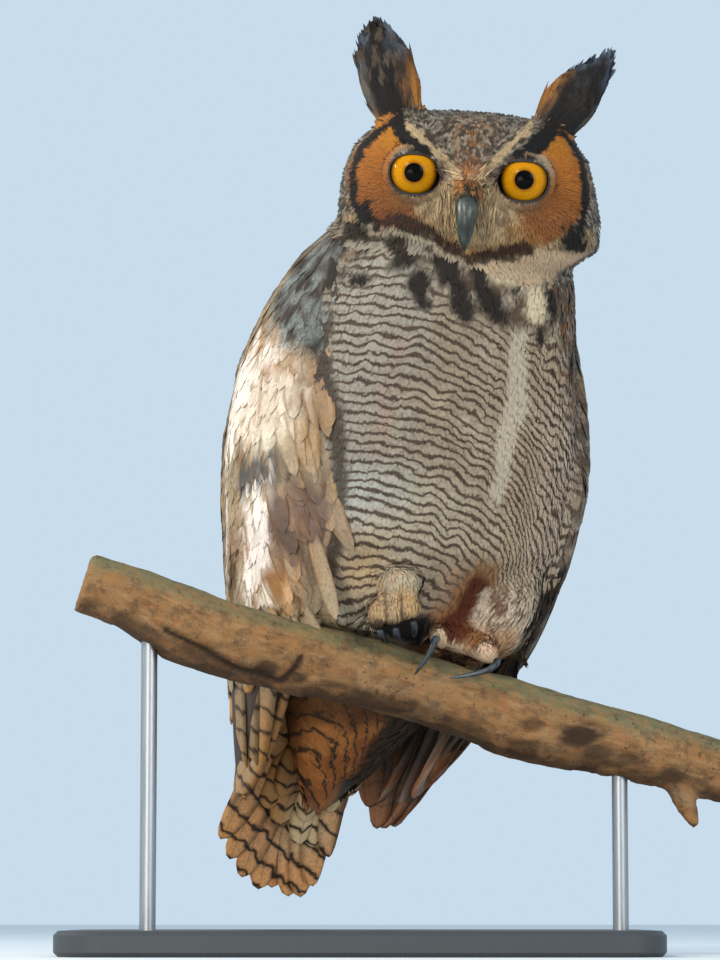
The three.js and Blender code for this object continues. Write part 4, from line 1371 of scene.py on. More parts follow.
def cover_with_feathers(skin, finishes):
    """The small feathers of every tract."""
    centres = skin.places[skin.triangles].mean(axis=1)
    labels = np.array(FLESH)[owners.at(centres)]
    kind = np.array([label.split("_")[0] for label in labels])
    head = HEAD.inside(centres)
    body = BODY.inside(centres)
    angle = np.abs(round_trunk(body))
    height = body[:, 2]
    bare = np.zeros(len(centres), bool)
    for eye in EYE_FRAMES.values():
        ahead, reach, edge = eye.opened(centres)
        bare |= (reach < edge + 1.0) & (ahead > -2)
        bare |= np.hypot(reach, ahead) < EYE_RADIUS + 0.7
    bill = (np.abs(head[:, 0]) < 5.5) & (head[:, 1] < -54) & (head[:, 2] < -4)
    bare |= np.arange(len(centres)) >= skin.own
    on_head = (kind == "head") & ~bare & ~bill
    face = on_head & (head[:, 1] < -10)
    torso = (kind == "trunk") | (kind == "neck")
    front = torso & (angle < 100) & (height > 168)
    soft, plain = finishes["soft"], finishes["plain"]
    body_slot, head_slot = "feathers_body", "feathers_head"

    def tract(name, mask, finish, *values, **more):
        grow(skin, np.flatnonzero(mask), finish, name, *values, **more)

    tract("coat_face", face, finishes["face"], head_slot, 1.35, 6.2, 1.5, 1.8, face_lie, paint_head,
          head_map, fineness=face_fineness, pull=0.4, stray=0.25, thickness=0.1, uneven=0.07, loose=0.05)
    on_bill = np.arange(len(centres)) >= skin.own
    root = (face | on_bill) & (np.abs(head[:, 0]) < 8.5) & (head[:, 2] < 6) & (head[:, 1] < -40)
    root &= head[:, 2] > -6.5 - 0.5 * np.abs(head[:, 0])
    tract("coat_cere", root, soft, head_slot, 1.0, 6.2, 0.9, 1.3, cere_lie, paint_cere, head_map,
          shape=WISP, stray=0.5, thickness=0.25, uneven=0.25, wobble=15)
    lore = face & (np.abs(head[:, 0]) < 17) & (head[:, 2] > -24) & (head[:, 2] < 1)
    tract("coat_bristles", lore, soft, head_slot, 2.0, 12, 0.8, 3.2, face_lie, paint_head, head_map,
          shape=WISP, pull=0.7, stray=0.4, thickness=0.3, uneven=0.3, loose=0.3, wobble=13)
    tract("coat_crown", on_head & ~face, soft, head_slot, 1.7, 8.5, 1.9, 3.0, face_lie, paint_head,
          head_map, pull=0.4, stray=0.4, thickness=0.15, uneven=0.1)
    for flank in EYES:
        mask = labels == f"ear_tuft_{flank}"
        tract(f"coat_tuft_{flank}", mask, finishes["face"], head_slot, 1.2, 20, 2.4, 2.2, tuft_lie(flank),
              lambda p, flank=flank: paint_tuft(p, flank), head_map, pull=0.2, uneven=0.15, wobble=4,
              loose=0.04, limit=lambda p, flank=flank: tuft_room(p, flank))
    chest = {"throat": height > 345, "breast": (height <= 345) & (height > 258), "belly": height <= 258}
    for name, level in chest.items():
        tract(f"coat_{name}", front & level, plain, body_slot, 2.1, 17, 5.0, 2.8, body_lie,
              paint_trunk, body_map, loose=0.0, uneven=0.03, limit=clear_of_fist, thickness=0.06,
              stray=0.2, roundness=0.04)
    tract("coat_back", torso & ~front & (height > 168), plain, body_slot, 3.2, 26, 8, 3.6, body_lie,
          paint_trunk, body_map)
    under = torso & (height <= 168) & (height > 104 + 10 * (body[:, 0] > 2))
    tract("coat_undertail", under, finishes["under"], body_slot, 2.6, 20, 6, 3.0, body_lie, paint_trunk,
          body_map, loose=0.03, thickness=0.1)
    tract("coat_legs", kind == "leg", plain, body_slot, 1.8, 18, 2.2, 3.4, body_lie, paint_trunk,
          body_map, wobble=6, uneven=0.12, thickness=0.15)
    tract("coat_feet", kind == "foot", soft, "feathers_foot", 1.3, 4.6, 1.3, 1.5, foot_lie,
          paint_foot, body_map, thickness=0.12, stray=0.3)
    facing = (skin.normals[skin.triangles].sum(axis=1) * outward(centres)).sum(axis=1) > -0.3
    wings = {flank: np.char.startswith(labels, f"wing_{flank}") & facing for flank in FLANKS}
    for flank, low in (("right", 192), ("left", 150)):
        tract(f"coat_wing_{flank}", wings[flank] & (height > low), finishes["covert"], body_slot,
              3.8, 38, 8.0, 2.8, wing_lie, paint_wing, body_map, shape=COVERT, thickness=0.2, pull=0.1,
              uneven=0.08, loose=0.05, wobble=8, stray=0.4)
    turn = round_trunk(body)
    front = wings["right"] & (turn > -80) & (height > 196) & (height < 356)
    tract("coat_wing_front", front, finishes["edge"], body_slot, 7.5, 50, 12, 4.4, front_lie, paint_wing,
          body_map, shape=COVERT, thickness=0.25, pull=0.25, uneven=0.14, loose=0.1, wobble=6, stray=0.6)


# ---------------------------------------------------------------- finishes
def plumage_finish(name, sweep, fine_across, fine_along, contrast, bar_half, shaft=0.0, rim=0.0):
    """Feathers: painted ground, dark bars, salt and pepper, streaks along the barbs, darker rims."""
    finish = Finish(name, Roughness=0.78, Specular_IOR_Level=0.25)
    ground = finish.attribute("tint")
    pepper = finish.attribute("tint", 3)
    bars = finish.attribute("bars", 1)
    vane = finish.attribute("vane", 1)
    place = finish.place()
    seed = bars.axis(2)
    drift = finish.noise(place, 130.0, 1.0)
    wave = ((bars.axis(0) + (drift - 0.5) * 0.6).fraction() - 0.5).size()
    half = finish.noise(place, 75.0, 2.0) * (2.4 * bar_half) - 0.2 * bar_half
    line = 1 - wave.step(half, half + 0.1)
    halo = 1 - wave.step(half + 0.04, half + 0.22)
    across, along = vane.axis(0), vane.axis(1)
    barb = along - across.size() * sweep
    strand = finish.node(
        "ShaderNodeCombineXYZ", values=(across * fine_across + seed * 37, barb * fine_along, seed * 91)
    )
    fibre = finish.noise(strand, 1.0, 2.0)
    colour = finish.mix(halo * bars.axis(1) * 0.45, ground, "6d4f36")
    colour = finish.mix(line * bars.axis(1), colour, "32271f")
    speck = finish.noise(place, 620.0, 2.0, 0.65).step(0.5, 0.6)
    colour = finish.mix(speck * pepper * 0.75, colour, "2d251e")
    if shaft:
        core = 1 - across.size().step(0.02, shaft)
        colour = finish.mix(core * 0.6, colour, "8a6a48")
    if rim:
        colour = finish.mix(across.size().step(0.6, 1.0) * rim, colour, "6b4a2c")
    light = fibre * contrast + (1 - 0.5 * contrast)
    colour = finish.mix(1.0, colour, finish.grey(light), "MULTIPLY")
    finish.feed("Base Color", colour)
    finish.bump(fibre, 0.3 * MM, 0.6)
    return finish


# Name, sweep of the barbs, fineness of their streaks across and along, contrast, half width of the
# bars as a share of their spacing, width of a pale shaft, and darkness of the rim.
FINISHES = {
    "soft": ("down", 0, 1.5, 0.25, 0.5, 0.16),
    "face": ("face down", 0, 1.5, 0.25, 0.3, 0.16),
    "covert": ("coverts", 4, 2.6, 0.22, 0.55, 0.1, 0.0, 0.22),
    "edge": ("edge coverts", 4, 2.6, 0.22, 0.6, 0.1, 0.0, 0.6),
    "plain": ("contour feathers", 0, 2.2, 0.2, 0.3, 0.1),
    "under": ("undertail down", 0, 1.5, 0.2, 0.3, 0.05),
    "flight": ("flight feathers", 6.0, 0.6, 1.6, 0.4, 0.035, 0.05),
}


# ---------------------------------------------------------------- eyes
PUPIL = 5.3
IRIS = 12.9


def iris_finish():
    """A yellow iris with fine spokes round a black pupil, under a wet, clear front."""
    finish = Finish("iris", Roughness=0.5, Specular_IOR_Level=0.0, Coat_Weight=0.12, Coat_Roughness=0.02)
    gaze = finish.attribute("gaze", 1)
    reach = gaze.axis(0)
    ring = finish.ramp(
        reach * (1 / IRIS),
        (0.0, "9c670a"), (1.0, "120804"), (0.46, "8f5806"), (0.55, "b0760c"), (0.78, "b4780a"),
        (0.9, "835306"),
    )
    spoke_at = finish.node(
        "ShaderNodeCombineXYZ", values=(reach * 0.2, gaze.axis(1) * 14, gaze.axis(2) * 14)
    )
    spoke = finish.noise(spoke_at, 1.0, 3.0)
    iris = finish.mix(1.0, ring, finish.grey(spoke * 0.5 + 0.75), "MULTIPLY")
    pupil = 1 - reach.step(PUPIL - 0.15, PUPIL + 0.2)
    colour = finish.mix(pupil, iris, "050404")
    finish.feed("Base Color", colour)
    return finish


def build_eye(flank, finish):
    eye = EYE_FRAMES[flank]
    rings, columns = 30, 40
    bm = bmesh.new()
    for vert, ring, turn in ringed(bm, rings, columns):
        bend = math.pi * ring / (rings - 1)
        radius = EYE_RADIUS - 0.15 + 0.5 * max(0.0, math.cos(bend)) ** 3
        reach = radius * math.sin(bend)
        vert.co = eye.round_point(reach, turn, radius * math.cos(bend))
    bmesh.ops.remove_doubles(bm, verts=bm.verts, dist=0.02 * MM)
    bmesh.ops.recalc_face_normals(bm, faces=bm.faces)
    side, rise, front = ((places_of(bm) - eye.centre) / MM @ way for way in (eye.aside, eye.up, eye.ahead))
    reach = np.where(front > 0, np.hypot(side, rise), 20.0)
    turn = np.arctan2(rise, side)
    name = f"eyeball_{flank}"
    mesh = mesh_of(bm, name)
    add_values(mesh, "gaze", np.column_stack([reach, np.cos(turn), np.sin(turn)]))
    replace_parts(finished(mesh, name, finish.material), f"eye_{flank}")


# ---------------------------------------------------------------- bill and claws
def horn_finish(name, dark, light):
    """Polished horn with growth lines."""
    finish = Finish(name, Roughness=0.34, Specular_IOR_Level=0.5)
    place = finish.place()
    grain = finish.noise(place.times((500, 500, 160)), 1.0, 3.0)
    broad = finish.noise(place, 140.0, 2.0)
    colour = finish.mix(broad.step(0.3, 0.7), dark, light)
    colour = finish.mix(1.0, colour, finish.grey(grain * 0.6 + 0.7), "MULTIPLY")
    finish.feed("Base Color", colour)
    finish.bump(grain, 0.12 * MM, 0.5)
    return finish


def refined(node, name, finish):
    """A piece of horn in a CAD node's shape, smoothed."""
    bm = with_modifiers(cad_copy([node]), ("SUBSURF", {"levels": 2, "render_levels": 2}))
    bmesh.ops.recalc_face_normals(bm, faces=bm.faces)
    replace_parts(finished(mesh_of(bm, name), name, finish.material), node)


def build_horn():
    bill = horn_finish("bill horn", "10130f", "3c463b")
    claw = horn_finish("claw horn", "101214", "39434a")
    refined("bill_upper", "bill_top", bill)
    refined("bill_lower", "bill_under", bill)
    shaded = horn_finish("shaded claw horn", "070808", "1c2226")
    for node in sorted(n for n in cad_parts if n.startswith("talon")):
        refined(node, node.replace("talon", "claw"), shaded if "right" in node else claw)


# ---------------------------------------------------------------- perch and stand
def bark_finish():
    """Brown bark with long grain, green above, dark below and in its scars."""
    finish = Finish("bark", Roughness=0.88, Specular_IOR_Level=0.2)
    grain = finish.attribute("grain", 1)
    upward = finish.attribute("grain_up", 2)
    place = finish.place()
    long_grain = finish.noise(grain.times((0.06, 0.25, 0.25)), 1.0, 5.0, 0.65)
    broad = finish.noise(place, 24.0, 3.0, 0.6)
    blotch = finish.noise(place, 75.0, 4.0, 0.7)
    fine = finish.noise(place, 260.0, 3.0, 0.65)
    colour = finish.mix(long_grain.step(0.3, 0.7), "64462a", "94734e")
    colour = finish.mix(blotch.step(0.42, 0.62) * 0.75, colour, "83603c")
    colour = finish.mix(broad.step(0.48, 0.7) * 0.6, colour, "7d664c")
    green = (upward + (broad - 0.5) * 0.9).step(0.1, 0.75)
    colour = finish.mix(green * 0.8, colour, "62664a")
    under = ((broad - 0.5) * 1.1 - upward).step(0.35, 0.85)
    colour = finish.mix(under * 0.7, colour, "4b3524")
    pits = fine.step(0.6, 0.7)
    colour = finish.mix(pits * 0.7, colour, "35251a")
    patch = finish.noise(place.plus((0.3, 0.1, 0.7)), 110.0, 4.0, 0.75)
    colour = finish.mix(patch.step(0.5, 0.64) * 0.4, colour, "92653c")
    colour = finish.mix(patch.step(0.5, 0.36) * 0.55, colour, "4c3b2b")
    specks = finish.noise(place, 420.0, 2.0, 0.6)
    colour = finish.mix(specks.step(0.58, 0.68) * 0.5, colour, "8c4a22")
    colour = finish.mix(finish.attribute("grain_dark", 2), colour, "35261b")
    finish.feed("Base Color", colour)
    finish.bump(long_grain * 0.7 + blotch * 0.8 + fine * 0.5, 1.2 * MM, 1.0)
    return finish


# ---------------------------------------------------------------- flight feathers and coverts
class Quills:
    """Long feathers laid through three places each, with an up direction at each place."""

    def __init__(self):
        self.lines, self.ups, self.halves = [], [], []

    def add(self, line, ups, left, right):
        self.lines.append(line)
        self.ups.append(ups)
        self.halves.append((left, right))

    def laid(self):
        """Rows of places, ups and ways along every feather."""
        share = VANE.shares[:, None]
        weights = np.concatenate(
            [(1 - share) * (1 - 2 * share), 4 * share * (1 - share), share * (2 * share - 1)], axis=1
        )
        places = np.einsum("rk,fkx->frx", weights, np.array(self.lines))
        ups = unit(np.einsum("rk,fkx->frx", weights, np.array(self.ups)))
        ways = unit(np.gradient(places, VANE.shares, axis=1))
        ups = unit(ups - (ups * ways).sum(axis=2, keepdims=True) * ways)
        return places, ups, ways

    def grow(self, name, slot, finish, paint_of, thickness=0.5, droop=0.1):
        """The feathers as one piece; paint_of(places, across, along, length, feather number)."""
        rng = np.random.default_rng([SEED, *name.encode()])
        places, ups, ways = self.laid()
        count = len(places)
        left, right = np.array(self.halves).T
        flat = np.zeros(places.shape[:2])
        thick = np.full(count, thickness)
        points = feather_mesh(VANE, places, ups, ways, left, right, flat, thick, droop)
        lengths = np.linalg.norm(places[:, -1] - places[:, 0], axis=1) / MM
        seeds = rng.random(count)
        vane = vane_values(VANE, count, lengths, seeds)
        across, along, _ = vane[0].reshape(-1, 3).T
        number = np.repeat(np.arange(count), points.shape[1])
        coat = paint_of(points.reshape(-1, 3), across, along, lengths[number], number)
        return plumage(name, finish, VANE, points, coat, vane, evenly_mapped(body_map(places[:, 3])))


class Flank:
    """A wing's surface as the CAD has it, found by looking along level lines from the trunk's axis."""

    def __init__(self, flank):
        self.side = FLANKS[flank]
        nodes = [f"wing_{flank}_coverts", f"wing_{flank}_quills"]
        self.tree = BVHTree.FromBMesh(cad_copy(nodes))

    def hit(self, angle, height, inner=False):
        """A place at an angle and height in the body's frame, and the way out from the axis there."""
        turn = math.radians(angle * self.side)
        x, y = (np.interp(height, TRUNK[:, 0], TRUNK[:, axis]) for axis in (1, 2))
        out = np.array([math.sin(turn), -math.cos(turn), 0.0])
        centre = np.array([x, y, height])
        start, way = (centre, out) if inner else (centre + out * 300, -out)
        place = self.tree.ray_cast(Vector(BODY.outside(start)), Vector(BODY.out_of(way)))[0]
        if place is None:
            place = self.tree.find_nearest(Vector(BODY.outside(centre + out * 60)))[0]
        return np.array(place), BODY.out_of(out)

    def quill(self, quills, root, tip, depths, left, right, inner=False):
        """Lays a feather between two places given as (angle, height)."""
        line, ups = [], []
        for share in (0, 0.5, 1):
            place, up = self.hit(*between(np.array(root), np.array(tip), share), inner)
            line.append(place + up * between(*depths, share) * MM)
            ups.append(up)
        if self.side < 0:
            left, right = right, left
        quills.add(line, ups, left, right)


# Rows of a wing, from the shoulder down: how many, height of the roots, front and back angle of the
# roots, the same of the tips, length, front and back half width, and depth of root and tip.
ROWS = {
    "greater": (11, 268, (63, 165), (62, 160), 56, 9.0, 9.0, (-3.6, -1.2)),
    "tertial": (9, 240, (63, 160), (65, 158), 86, 9.0, 12.0, (-4.0, -1.6)),
    "primary": (8, 200, (66, 152), (72, 140), 118, 7.0, 12.5, (-5.0, -2.4)),
    "inner": (7, 212, (60, 150), (70, 138), 122, 8.0, 12.0, (1.5, 1.5)),
}


def wing_painter(kinds, flank):
    """Colours of a wing's long feathers, where kinds gives each feather's row; the left wing's are darker,
    painted shade.
    """

    def painted(points, across, along, length, number):
        coat = paint_wing(points)
        kind = np.array(kinds)[number]
        share = along / length
        flight = np.isin(kind, ("tertial", "primary", "inner"))
        seeds = np.random.default_rng(SEED).random(len(kinds))[number]
        edge = smooth(np.abs(across), 0.5, 0.95)
        coat.over(TAN, 0.3 * (1 - edge) * (seeds > 0.5))
        coat.tint *= (0.85 + 0.3 * seeds)[:, None]
        low = flight * smooth(share, 0.25, 0.5)
        ground = blend("9a7f5e", "b58048", smooth(share + 0.3 * seeds, 0.7, 1.1))
        # The left wing's lower feathers get darker browns: painted shade.
        if flank == "left":
            ground = blend("4f4135", "86583a", smooth(share + 0.2 * seeds, 0.8, 1.1))
        coat.over(ground, low, bar=0.8 if flank == "right" else 0.4, pepper=0.35)
        coat.phase = np.where(flight, (along + 5 * seeds) / 15 + 0.12 * np.abs(across), coat.phase)
        coat.bar = np.where(flight, coat.bar, 0.15)
        inside = kind == "inner"
        # The left wing's inner feathers are near-black, painted shade; the right wing's are tan.
        dusk = blend(DARK, BLACK, seeds) if flank == "left" else blend(TAN, "a87a4a", seeds)
        end = smooth(share, 0.72, 0.9) if flank == "left" else 0.0
        coat.over(dusk, 0.92 * inside * (1 - end), bar=0.1 if flank == "left" else 0.9, pepper=0.0)
        strand = smooth(noise(np.column_stack([across * 4, along * 0.1, seeds * 30]), 1.0, 2), 0.42, 0.6)
        coat.over(blend("8a4f2e", "8a7d70", strand), 0.9 * inside * end, bar=0.0, pepper=0.0)
        coat.over("a3917a", 0.8 * inside * (1 - end) * (np.abs(across) < 0.15) * (seeds > 0.45))
        return coat

    return painted


def build_wing(flank, finishes):
    wing = Flank(flank)
    rng = np.random.default_rng([SEED, len(flank)])
    quills, kinds = Quills(), []
    drop = 0 if flank == "right" else 6
    for kind, row in ROWS.items():
        count, height, root_angles, tip_angles, length, front, back, depths = row
        for number in range(count):
            share = (number + 0.5) / count
            root = between(*root_angles, share) + rng.normal(0, 1.2)
            tip = between(*tip_angles, share) + rng.normal(0, 1.5)
            level = height + rng.normal(0, 4) + 6 * math.sin(2.2 * share * math.pi)
            long = length * (1 + 0.1 * rng.normal())
            if kind in ("primary", "inner"):
                long -= 16 * abs(share - 0.45) * 2
                level -= drop
            layer = 0.5 * (number % 2)
            ends = (depths[0] - layer, depths[1] - layer)
            wing.quill(quills, (root, level), (tip, level - long), ends, front, back, kind == "inner")
            kinds.append(kind)
    painter = wing_painter(kinds, flank)
    made = quills.grow(f"wing_feathers_{flank}", "feathers_flight", finishes["flight"], painter)
    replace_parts(made, f"wing_{flank}_quills")


# Tail feathers from the owl's right to its left: how far aside, and where each tip ends.
TAIL_TIPS = (
    (-1, -54, 72), (-0.6, -37, 52), (-0.3, -20, 40), (0, -8, 40), (0.3, 5, 35), (0.6, 12, 37), (0.8, 16, 46),
    (1, 20, 62),
)
TAIL_HEIGHTS = (33, 52, 78, 112, 150, 190)
TAIL_DEPTHS = (181, 175, 163, 143, 118, 88)
TAIL_FRONT = unit(np.array([0.0, -0.83, -0.55]))


def tail_place(across, height, back, front):
    """A place on the tail, moved back and out of its front."""
    depth = np.interp(height, TAIL_HEIGHTS, TAIL_DEPTHS) - back
    return BODY.outside(np.array([across, depth, height]) + TAIL_FRONT * front)


def tail_painter(asides):
    """Colours of the tail's feathers, where asides gives each one's place from right to left."""

    def painted(points, across, along, length, number):
        coat = Coating(len(points), "e2a368")
        inside = BODY.inside(points)
        rough = noise(inside, 12) - 0.5
        aside = np.array(asides)[number]
        coat.over("d49c6c", 0.8 * smooth(rough, -0.1, 0.15))
        coat.over("b3936f", 0.7 * bell(inside[:, 0] + 52, 9) * smooth(inside[:, 2], 76, 96))
        coat.over("dfa055", 0.85 * smooth(-inside[:, 0] - 0.6 * inside[:, 2] + 30 * rough, 6, 14))
        coat.over("e0c69c", 0.8 * bell(inside[:, 0] - 2, 14) * bell(inside[:, 2] - 76, 16))
        coat.over(DARK, 0.7 * smooth(aside, 0.86, 0.95) * smooth(across * np.sign(aside), 0.0, 0.6))
        coat.pepper[:] = 0.3
        coat.bar[:] = 0.95
        coat.phase = (-inside[:, 2] - 0.6 * inside[:, 0] + 7 * rough) / 13
        return coat

    return painted


def build_tail(finishes):
    quills, asides = Quills(), []
    for aside in np.linspace(-1, 1, 9):
        tip_x, tip_z = (np.interp(aside, *zip(*[(t[0], t[i]) for t in TAIL_TIPS])) for i in (1, 2))
        layer = 3.6 * (abs(aside) * 2 - 1)
        line = []
        for share in (0, 0.5, 1):
            across = between(14 * aside, tip_x, share) - 7 * share * (1 - share)
            line.append(tail_place(across, between(186, tip_z, share), 4 * (aside + 0.2) ** 2, layer))
        up = BODY.out_of(-TAIL_FRONT)
        left, right = np.interp(aside, (-1, 0, 1), (9, 14, 13)), np.interp(aside, (-1, 0, 1), (14, 14, 5))
        quills.add(line, [up] * 3, left, right)
        asides.append(aside)
    painter = tail_painter(asides)
    made = quills.grow("tail_feathers", "feathers_flight", finishes["flight"], painter, 0.35, 0.0)
    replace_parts(made, "tail")


# Soft feathers under the tail's root: how far aside and how high each has its root and its tip.
UNDER_ROOTS = (
    (-26, 128), (-16, 122), (-6, 126), (4, 124), (14, 130), (22, 138), (-20, 140), (-2, 142), (12, 146),
)
UNDER_TIPS = ((-28, 92), (-18, 82), (-2, 72), (9, 70), (16, 84), (22, 100), (-22, 100), (-3, 86), (12, 92))


def build_undertail(finishes):
    quills = Quills()
    for number, ((root_x, root_z), (tip_x, tip_z)) in enumerate(zip(UNDER_ROOTS, UNDER_TIPS)):
        line = []
        for share in (0, 0.5, 1):
            front = 7.5 + 0.4 * (number % 3) + 2.0 * (number > 5)
            line.append(tail_place(between(root_x, tip_x, share), between(root_z, tip_z, share), 0, front))
        quills.add(line, [BODY.out_of(TAIL_FRONT)] * 3, 9.5, 9.5)

    def painted(points, across, along, length, number):
        coat = Coating(len(points), "b58550")
        coat.over("dec092", smooth(BODY.inside(points)[:, 0], -22, -6))
        share = along / length
        coat.over("b07a42", 1 - smooth(share, 0.3, 0.7))
        coat.pepper[:] = 0.05
        coat.bar[:] = 0.95
        coat.phase = (along + 4.5 * np.abs(across)) / 11 + 0.29 * number
        return coat

    quills.grow("undertail_feathers", "feathers_flight", finishes["flight"], painted, 0.5, 0.18)


# ---------------------------------------------------------------- the perch's shape
# The branch's middle line in world millimetres.
BRANCH = np.array([
    (-152, -62, 204.5), (-132, -60, 198), (-115, -56.5, 190), (-97, -53, 181), (-70, -48, 172.5),
    (-30, -40, 163), (17, -31, 153.5), (50, -24, 142.5), (82, -18, 133), (112, -12, 125.5),
    (135, -8, 120.5), (158, -4, 115.5), (181, 0.5, 109.5), (210, 6, 101),
])
# Scars on the branch: world place, radius, and how dark and how deep in millimetres.
SCARS = (
    ((122, -27, 122), 9, 1.0, 1.6), ((133, -25, 112), 7, 0.8, 1.0), ((96, -34, 128), 5, 0.6, 0.8),
    ((-52, -60, 156), 7, 0.9, 1.5), ((-88, -66, 166), 8, 0.7, 1.2), ((-34, -56, 152), 5, 0.8, 1.0),
    ((52, -44, 132), 4, 0.7, 0.7), ((150, -23, 108), 5, 0.7, 0.9), ((176, -14, 98), 6, 0.6, 0.8),
)
# The lip of a flake that lifts off along the branch's underside, in world millimetres.
FLAKE = (
    (-106, -74, 176), (-98, -73, 171.5), (-87.5, -69, 166), (-79, -65, 161), (-70, -61.5, 157),
    (-60, -58, 153), (-52, -56, 150.5), (-44, -54, 149), (-38.5, -57.5, 153), (-34.5, -60, 158.5),
    (-32, -61, 163),
)


def along_branch(points):
    """Millimetres along the branch's line, and the offset from it."""
    best = np.full(len(points), np.inf)
    along = np.zeros(len(points))
    offset = np.zeros((len(points), 3))
    run = 0.0
    for start, end in zip(BRANCH[:-1], BRANCH[1:]):
        way = end - start
        length = np.linalg.norm(way)
        share = np.clip((points - start) @ way / length**2, 0, 1)
        gap = points - start - share[:, None] * way
        size = np.linalg.norm(gap, axis=1)
        nearer = size < best
        best[nearer] = size[nearer]
        along[nearer] = run + share[nearer] * length
        offset[nearer] = gap[nearer]
        run += length
    return along, offset


def build_perch():
    voxels = {"mode": "VOXEL", "voxel_size": 2.2 * MM}
    bm = with_modifiers(cad_copy(["perch"]), ("REMESH", voxels))
    smooth_verts(bm, bm.verts, 2)
    bm.normal_update()
    places = places_of(bm) / MM
    normals = np.array([v.normal for v in bm.verts])
    along, offset = along_branch(places)
    grain = np.column_stack([along, offset[:, 1:]])
    ridges = noise(np.column_stack([along * 0.12, offset[:, 1], offset[:, 2]]), 4.0, 3) - 0.5
    lumps = noise(places, 22, 2, 2.0) - 0.5
    lift = 1.5 * ridges + 1.8 * lumps
    flake = smooth(-normals[:, 2], 0.3, 0.7) * smooth(noise(places, 13, 2, 5.0), 0.48, 0.56)
    lift += 0.9 * flake
    dark = 0.55 * smooth(-normals[:, 2], 0.3, 0.8) * (1 - smooth(noise(places, 13, 2, 5.0), 0.46, 0.52))
    for place, radius, tone, deep in SCARS:
        near = bell(np.linalg.norm((places - place) * (0.6, 1, 1), axis=1) * (1 + ridges), radius)
        lift -= deep * near
        dark = np.maximum(dark, tone * smooth(near, 0.35, 0.75))
    lip = line_distance(places, FLAKE)
    lift += 1.2 * bell(lip - 5, 3) * smooth(normals[:, 2], -0.6, 0.0) - 2.2 * bell(lip, 2.4)
    dark = np.maximum(dark, 1 - smooth(lip, 1.2, 3.2))
    move_to(bm, (places + normals * (lift - 0.4)[:, None]) * MM)
    bm.normal_update()
    for name, values in (("grain_up", normals[:, 2]), ("grain_dark", dark)):
        layer = bm.verts.layers.float.new(name)
        for vert, value in zip(bm.verts, values):
            vert[layer] = value
    layer = bm.verts.layers.float_vector.new("grain")
    for vert, value in zip(bm.verts, grain):
        vert[layer] = value
    made = finished(mesh_of(bm, "branch"), "branch", bark_finish().material)
    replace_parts(made, "perch")


# ---------------------------------------------------------------- the stand
def paint_finish():
    finish = Finish("stand paint", Roughness=0.5, Specular_IOR_Level=0.4)
    grain = finish.noise(finish.place(), 900.0, 2.0)
    finish.feed("Base Color", finish.mix(grain, "34373a", "3d4144"))
    finish.bump(grain, 0.05 * MM, 0.4)
    return finish


def steel_finish():
    finish = Finish("brushed steel", Metallic=1.0)
    brushed = finish.noise(finish.place().times((900, 900, 30)), 1.0, 2.0)
    finish.feed("Base Color", finish.mix(brushed, "8c8f92", "b4b6b8"))
    finish.feed("Roughness", brushed * 0.2 + 0.28)
    return finish


def build_stand():
    painted, steel = paint_finish(), steel_finish()
    for node, name, slot, finish in (
        ("stand_base", "base", "stand_paint", painted),
        ("stand_rod_left", "rod_left", "steel", steel),
        ("stand_rod_right", "rod_right", "steel", steel),
    ):
        bm = cad_copy([node])
        bmesh.ops.dissolve_limit(
            bm, angle_limit=math.radians(1), verts=bm.verts, edges=bm.edges, use_dissolve_boundaries=False
        )
        bmesh.ops.recalc_face_normals(bm, faces=bm.faces)
        made = finished(mesh_of(bm, name), name, finish.material)
        for edge in made.data.edges:
            edge.use_edge_sharp = False
        made.data.set_sharp_from_angle(angle=math.radians(40))
        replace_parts(made, node)


# ---------------------------------------------------------------- skin's own finish
def skin_finish():
    """Bare skin and down, seen only between the feathers and on the lids."""
    finish = Finish("skin", Roughness=0.7)
    tint = finish.attribute("tint")
    crease = finish.noise(finish.place(), 900.0, 3.0)
    colour = finish.mix(1.0, tint, finish.grey(crease * 0.5 + 0.7), "MULTIPLY")
    finish.feed("Base Color", colour)
    finish.bump(crease, 0.15 * MM, 0.5)
    return finish


def paint_skin(points):
    """The down under the feathers is the coat's colour, a little darker as painted shade between the
    feathers; the lids are their own.
    """
    labels = np.array(FLESH)[owners.at(points)]
    coat = paint_trunk(points)
    kinds = np.array([label.split("_")[0] for label in labels])
    coat.where(kinds == "head", paint_head(points))
    coat.where(kinds == "wing", paint_wing(points))
    coat.where(kinds == "foot", paint_foot(points))
    for flank in EYES:
        mask = labels == f"ear_tuft_{flank}"
        coat.where(mask, paint_tuft(points, flank))
    # Skin between the wing's lower feathers is dark brown: painted shade between them.
    low = (kinds == "wing") & (BODY.inside(points)[:, 2] < 205)
    coat.tint[low] = paint("4a3728")
    # Darker than the coat: painted shade between the feathers.
    tint = coat.tint * 0.75
    for eye in EYE_FRAMES.values():
        ahead, reach, edge = eye.opened(points)
        deep = (ahead > 0) & (reach < 17.2)
        tint = blend(tint, "7d6040", deep * 0.6)
        tint = blend(tint, BLACK, (deep & (reach < edge + 2.2)) * 0.95)
    return tint


def finish_skin(bm):
    tint = paint_skin(places_of(bm))
    mesh = mesh_of(bm, "skin")
    add_values(mesh, "tint", np.column_stack([tint, np.ones(len(tint))]))
    made = finished(mesh, "skin", skin_finish().material)
    for node in FLESH:
        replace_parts(made, node)
    return made


# ---------------------------------------------------------------- floor, lights, camera
def build_stage():
    bm = bmesh.new()
    bmesh.ops.create_grid(bm, x_segments=2, y_segments=2, size=6)
    finish = Finish("floor", Roughness=0.85)
    shade = finish.noise(finish.place(), 3.0, 2.0)
    finish.feed("Base Color", finish.mix(shade, "d2d9dd", "d9dfe2"))
    mesh = mesh_of(bm, "floor")
    mesh.materials.append(finish.material)
    linked("floor", mesh)


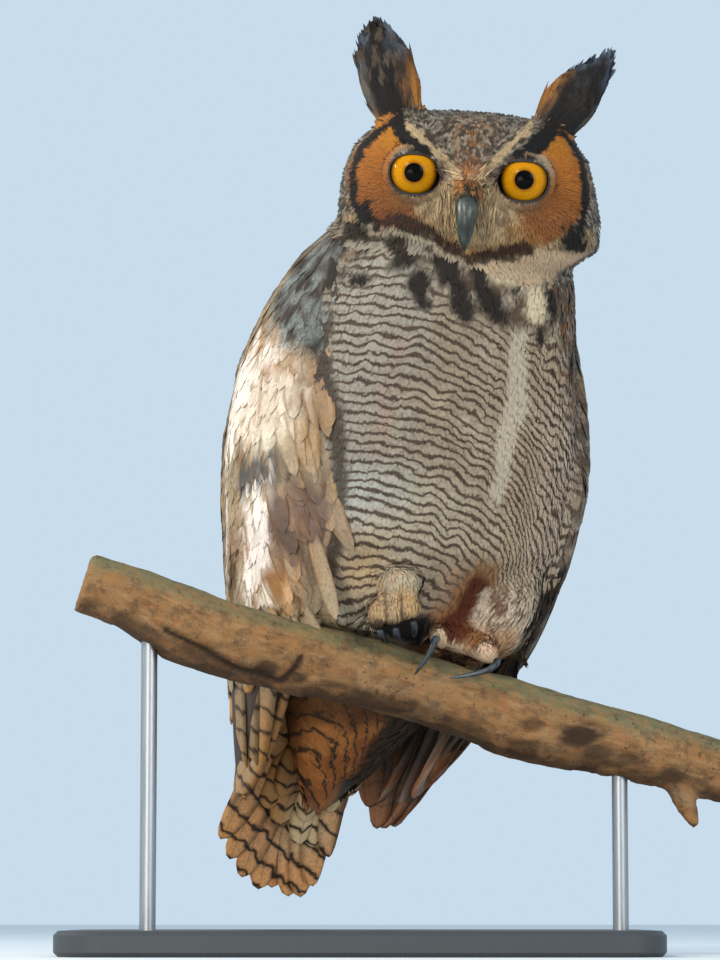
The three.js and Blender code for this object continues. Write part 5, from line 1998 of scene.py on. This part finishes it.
def area_light(name, place, aim, size, power, colour):
    lamp = bpy.data.lights.new(name, "AREA")
    lamp.shape = "DISK"
    lamp.size = size
    lamp.energy = power
    lamp.color = colour
    held = linked(name, lamp)
    held.location = place
    held.rotation_euler = (Vector(aim) - Vector(place)).to_track_quat("-Z", "Y").to_euler()


def build_lights():
    scene = bpy.context.scene
    scene.view_settings.view_transform = "Standard"
    world = bpy.data.worlds.new("studio")
    world.use_nodes = True
    backdrop = world.node_tree.nodes["Background"]
    backdrop.inputs["Color"].default_value = opaque("c8dcec")
    backdrop.inputs["Strength"].default_value = 1.0
    scene.world = world
    aim = (0.02, 0, 0.3)
    area_light("key", (-1.1, -1.7, 1.5), aim, 0.6, 30, (1.0, 0.93, 0.83))
    area_light("edge", (-1.8, 0.0, 1.1), aim, 0.4, 20, (1.0, 0.94, 0.84))
    area_light("low", (-0.6, -1.9, 0.1), (0.0, 0.1, 0.12), 0.9, 12, (1.0, 0.93, 0.84))
    area_light("fill", (1.6, -1.9, 0.9), aim, 1.4, 24, (1.0, 0.95, 0.9))


FOCAL_LENGTH = 132.6
CAMERA_TILT = 97.01  # from straight down, in degrees


def build_camera():
    lens = bpy.data.cameras.new("camera")
    lens.lens = FOCAL_LENGTH
    lens.clip_start = 0.05
    held = linked("camera", lens)
    held.location = VIEWER
    held.rotation_euler = (math.radians(CAMERA_TILT), 0, 0)
    bpy.context.scene.camera = held


# ---------------------------------------------------------------- everything
def with_bill(skin):
    """The skin's mesh with the bill after it, so that the feathers at its root lie over it."""
    whole = bmesh.new()
    whole.from_mesh(skin)
    whole.from_mesh(mesh_of(cad_copy(["bill_upper", "bill_lower"])))
    return mesh_of(whole)


def build():
    finishes = {kind: plumage_finish(*values) for kind, values in FINISHES.items()}
    skin = finish_skin(build_skin())
    skin.data.calc_loop_triangles()
    surface = Surface(with_bill(skin.data))
    surface.own = len(skin.data.loop_triangles)
    cover_with_feathers(surface, finishes)
    for flank in FLANKS:
        build_wing(flank, finishes)
    build_tail(finishes)
    build_undertail(finishes)
    iris = iris_finish()
    for flank in EYES:
        build_eye(flank, iris)
    build_horn()
    build_perch()
    build_stand()
    build_stage()
    build_lights()
    build_camera()


build()
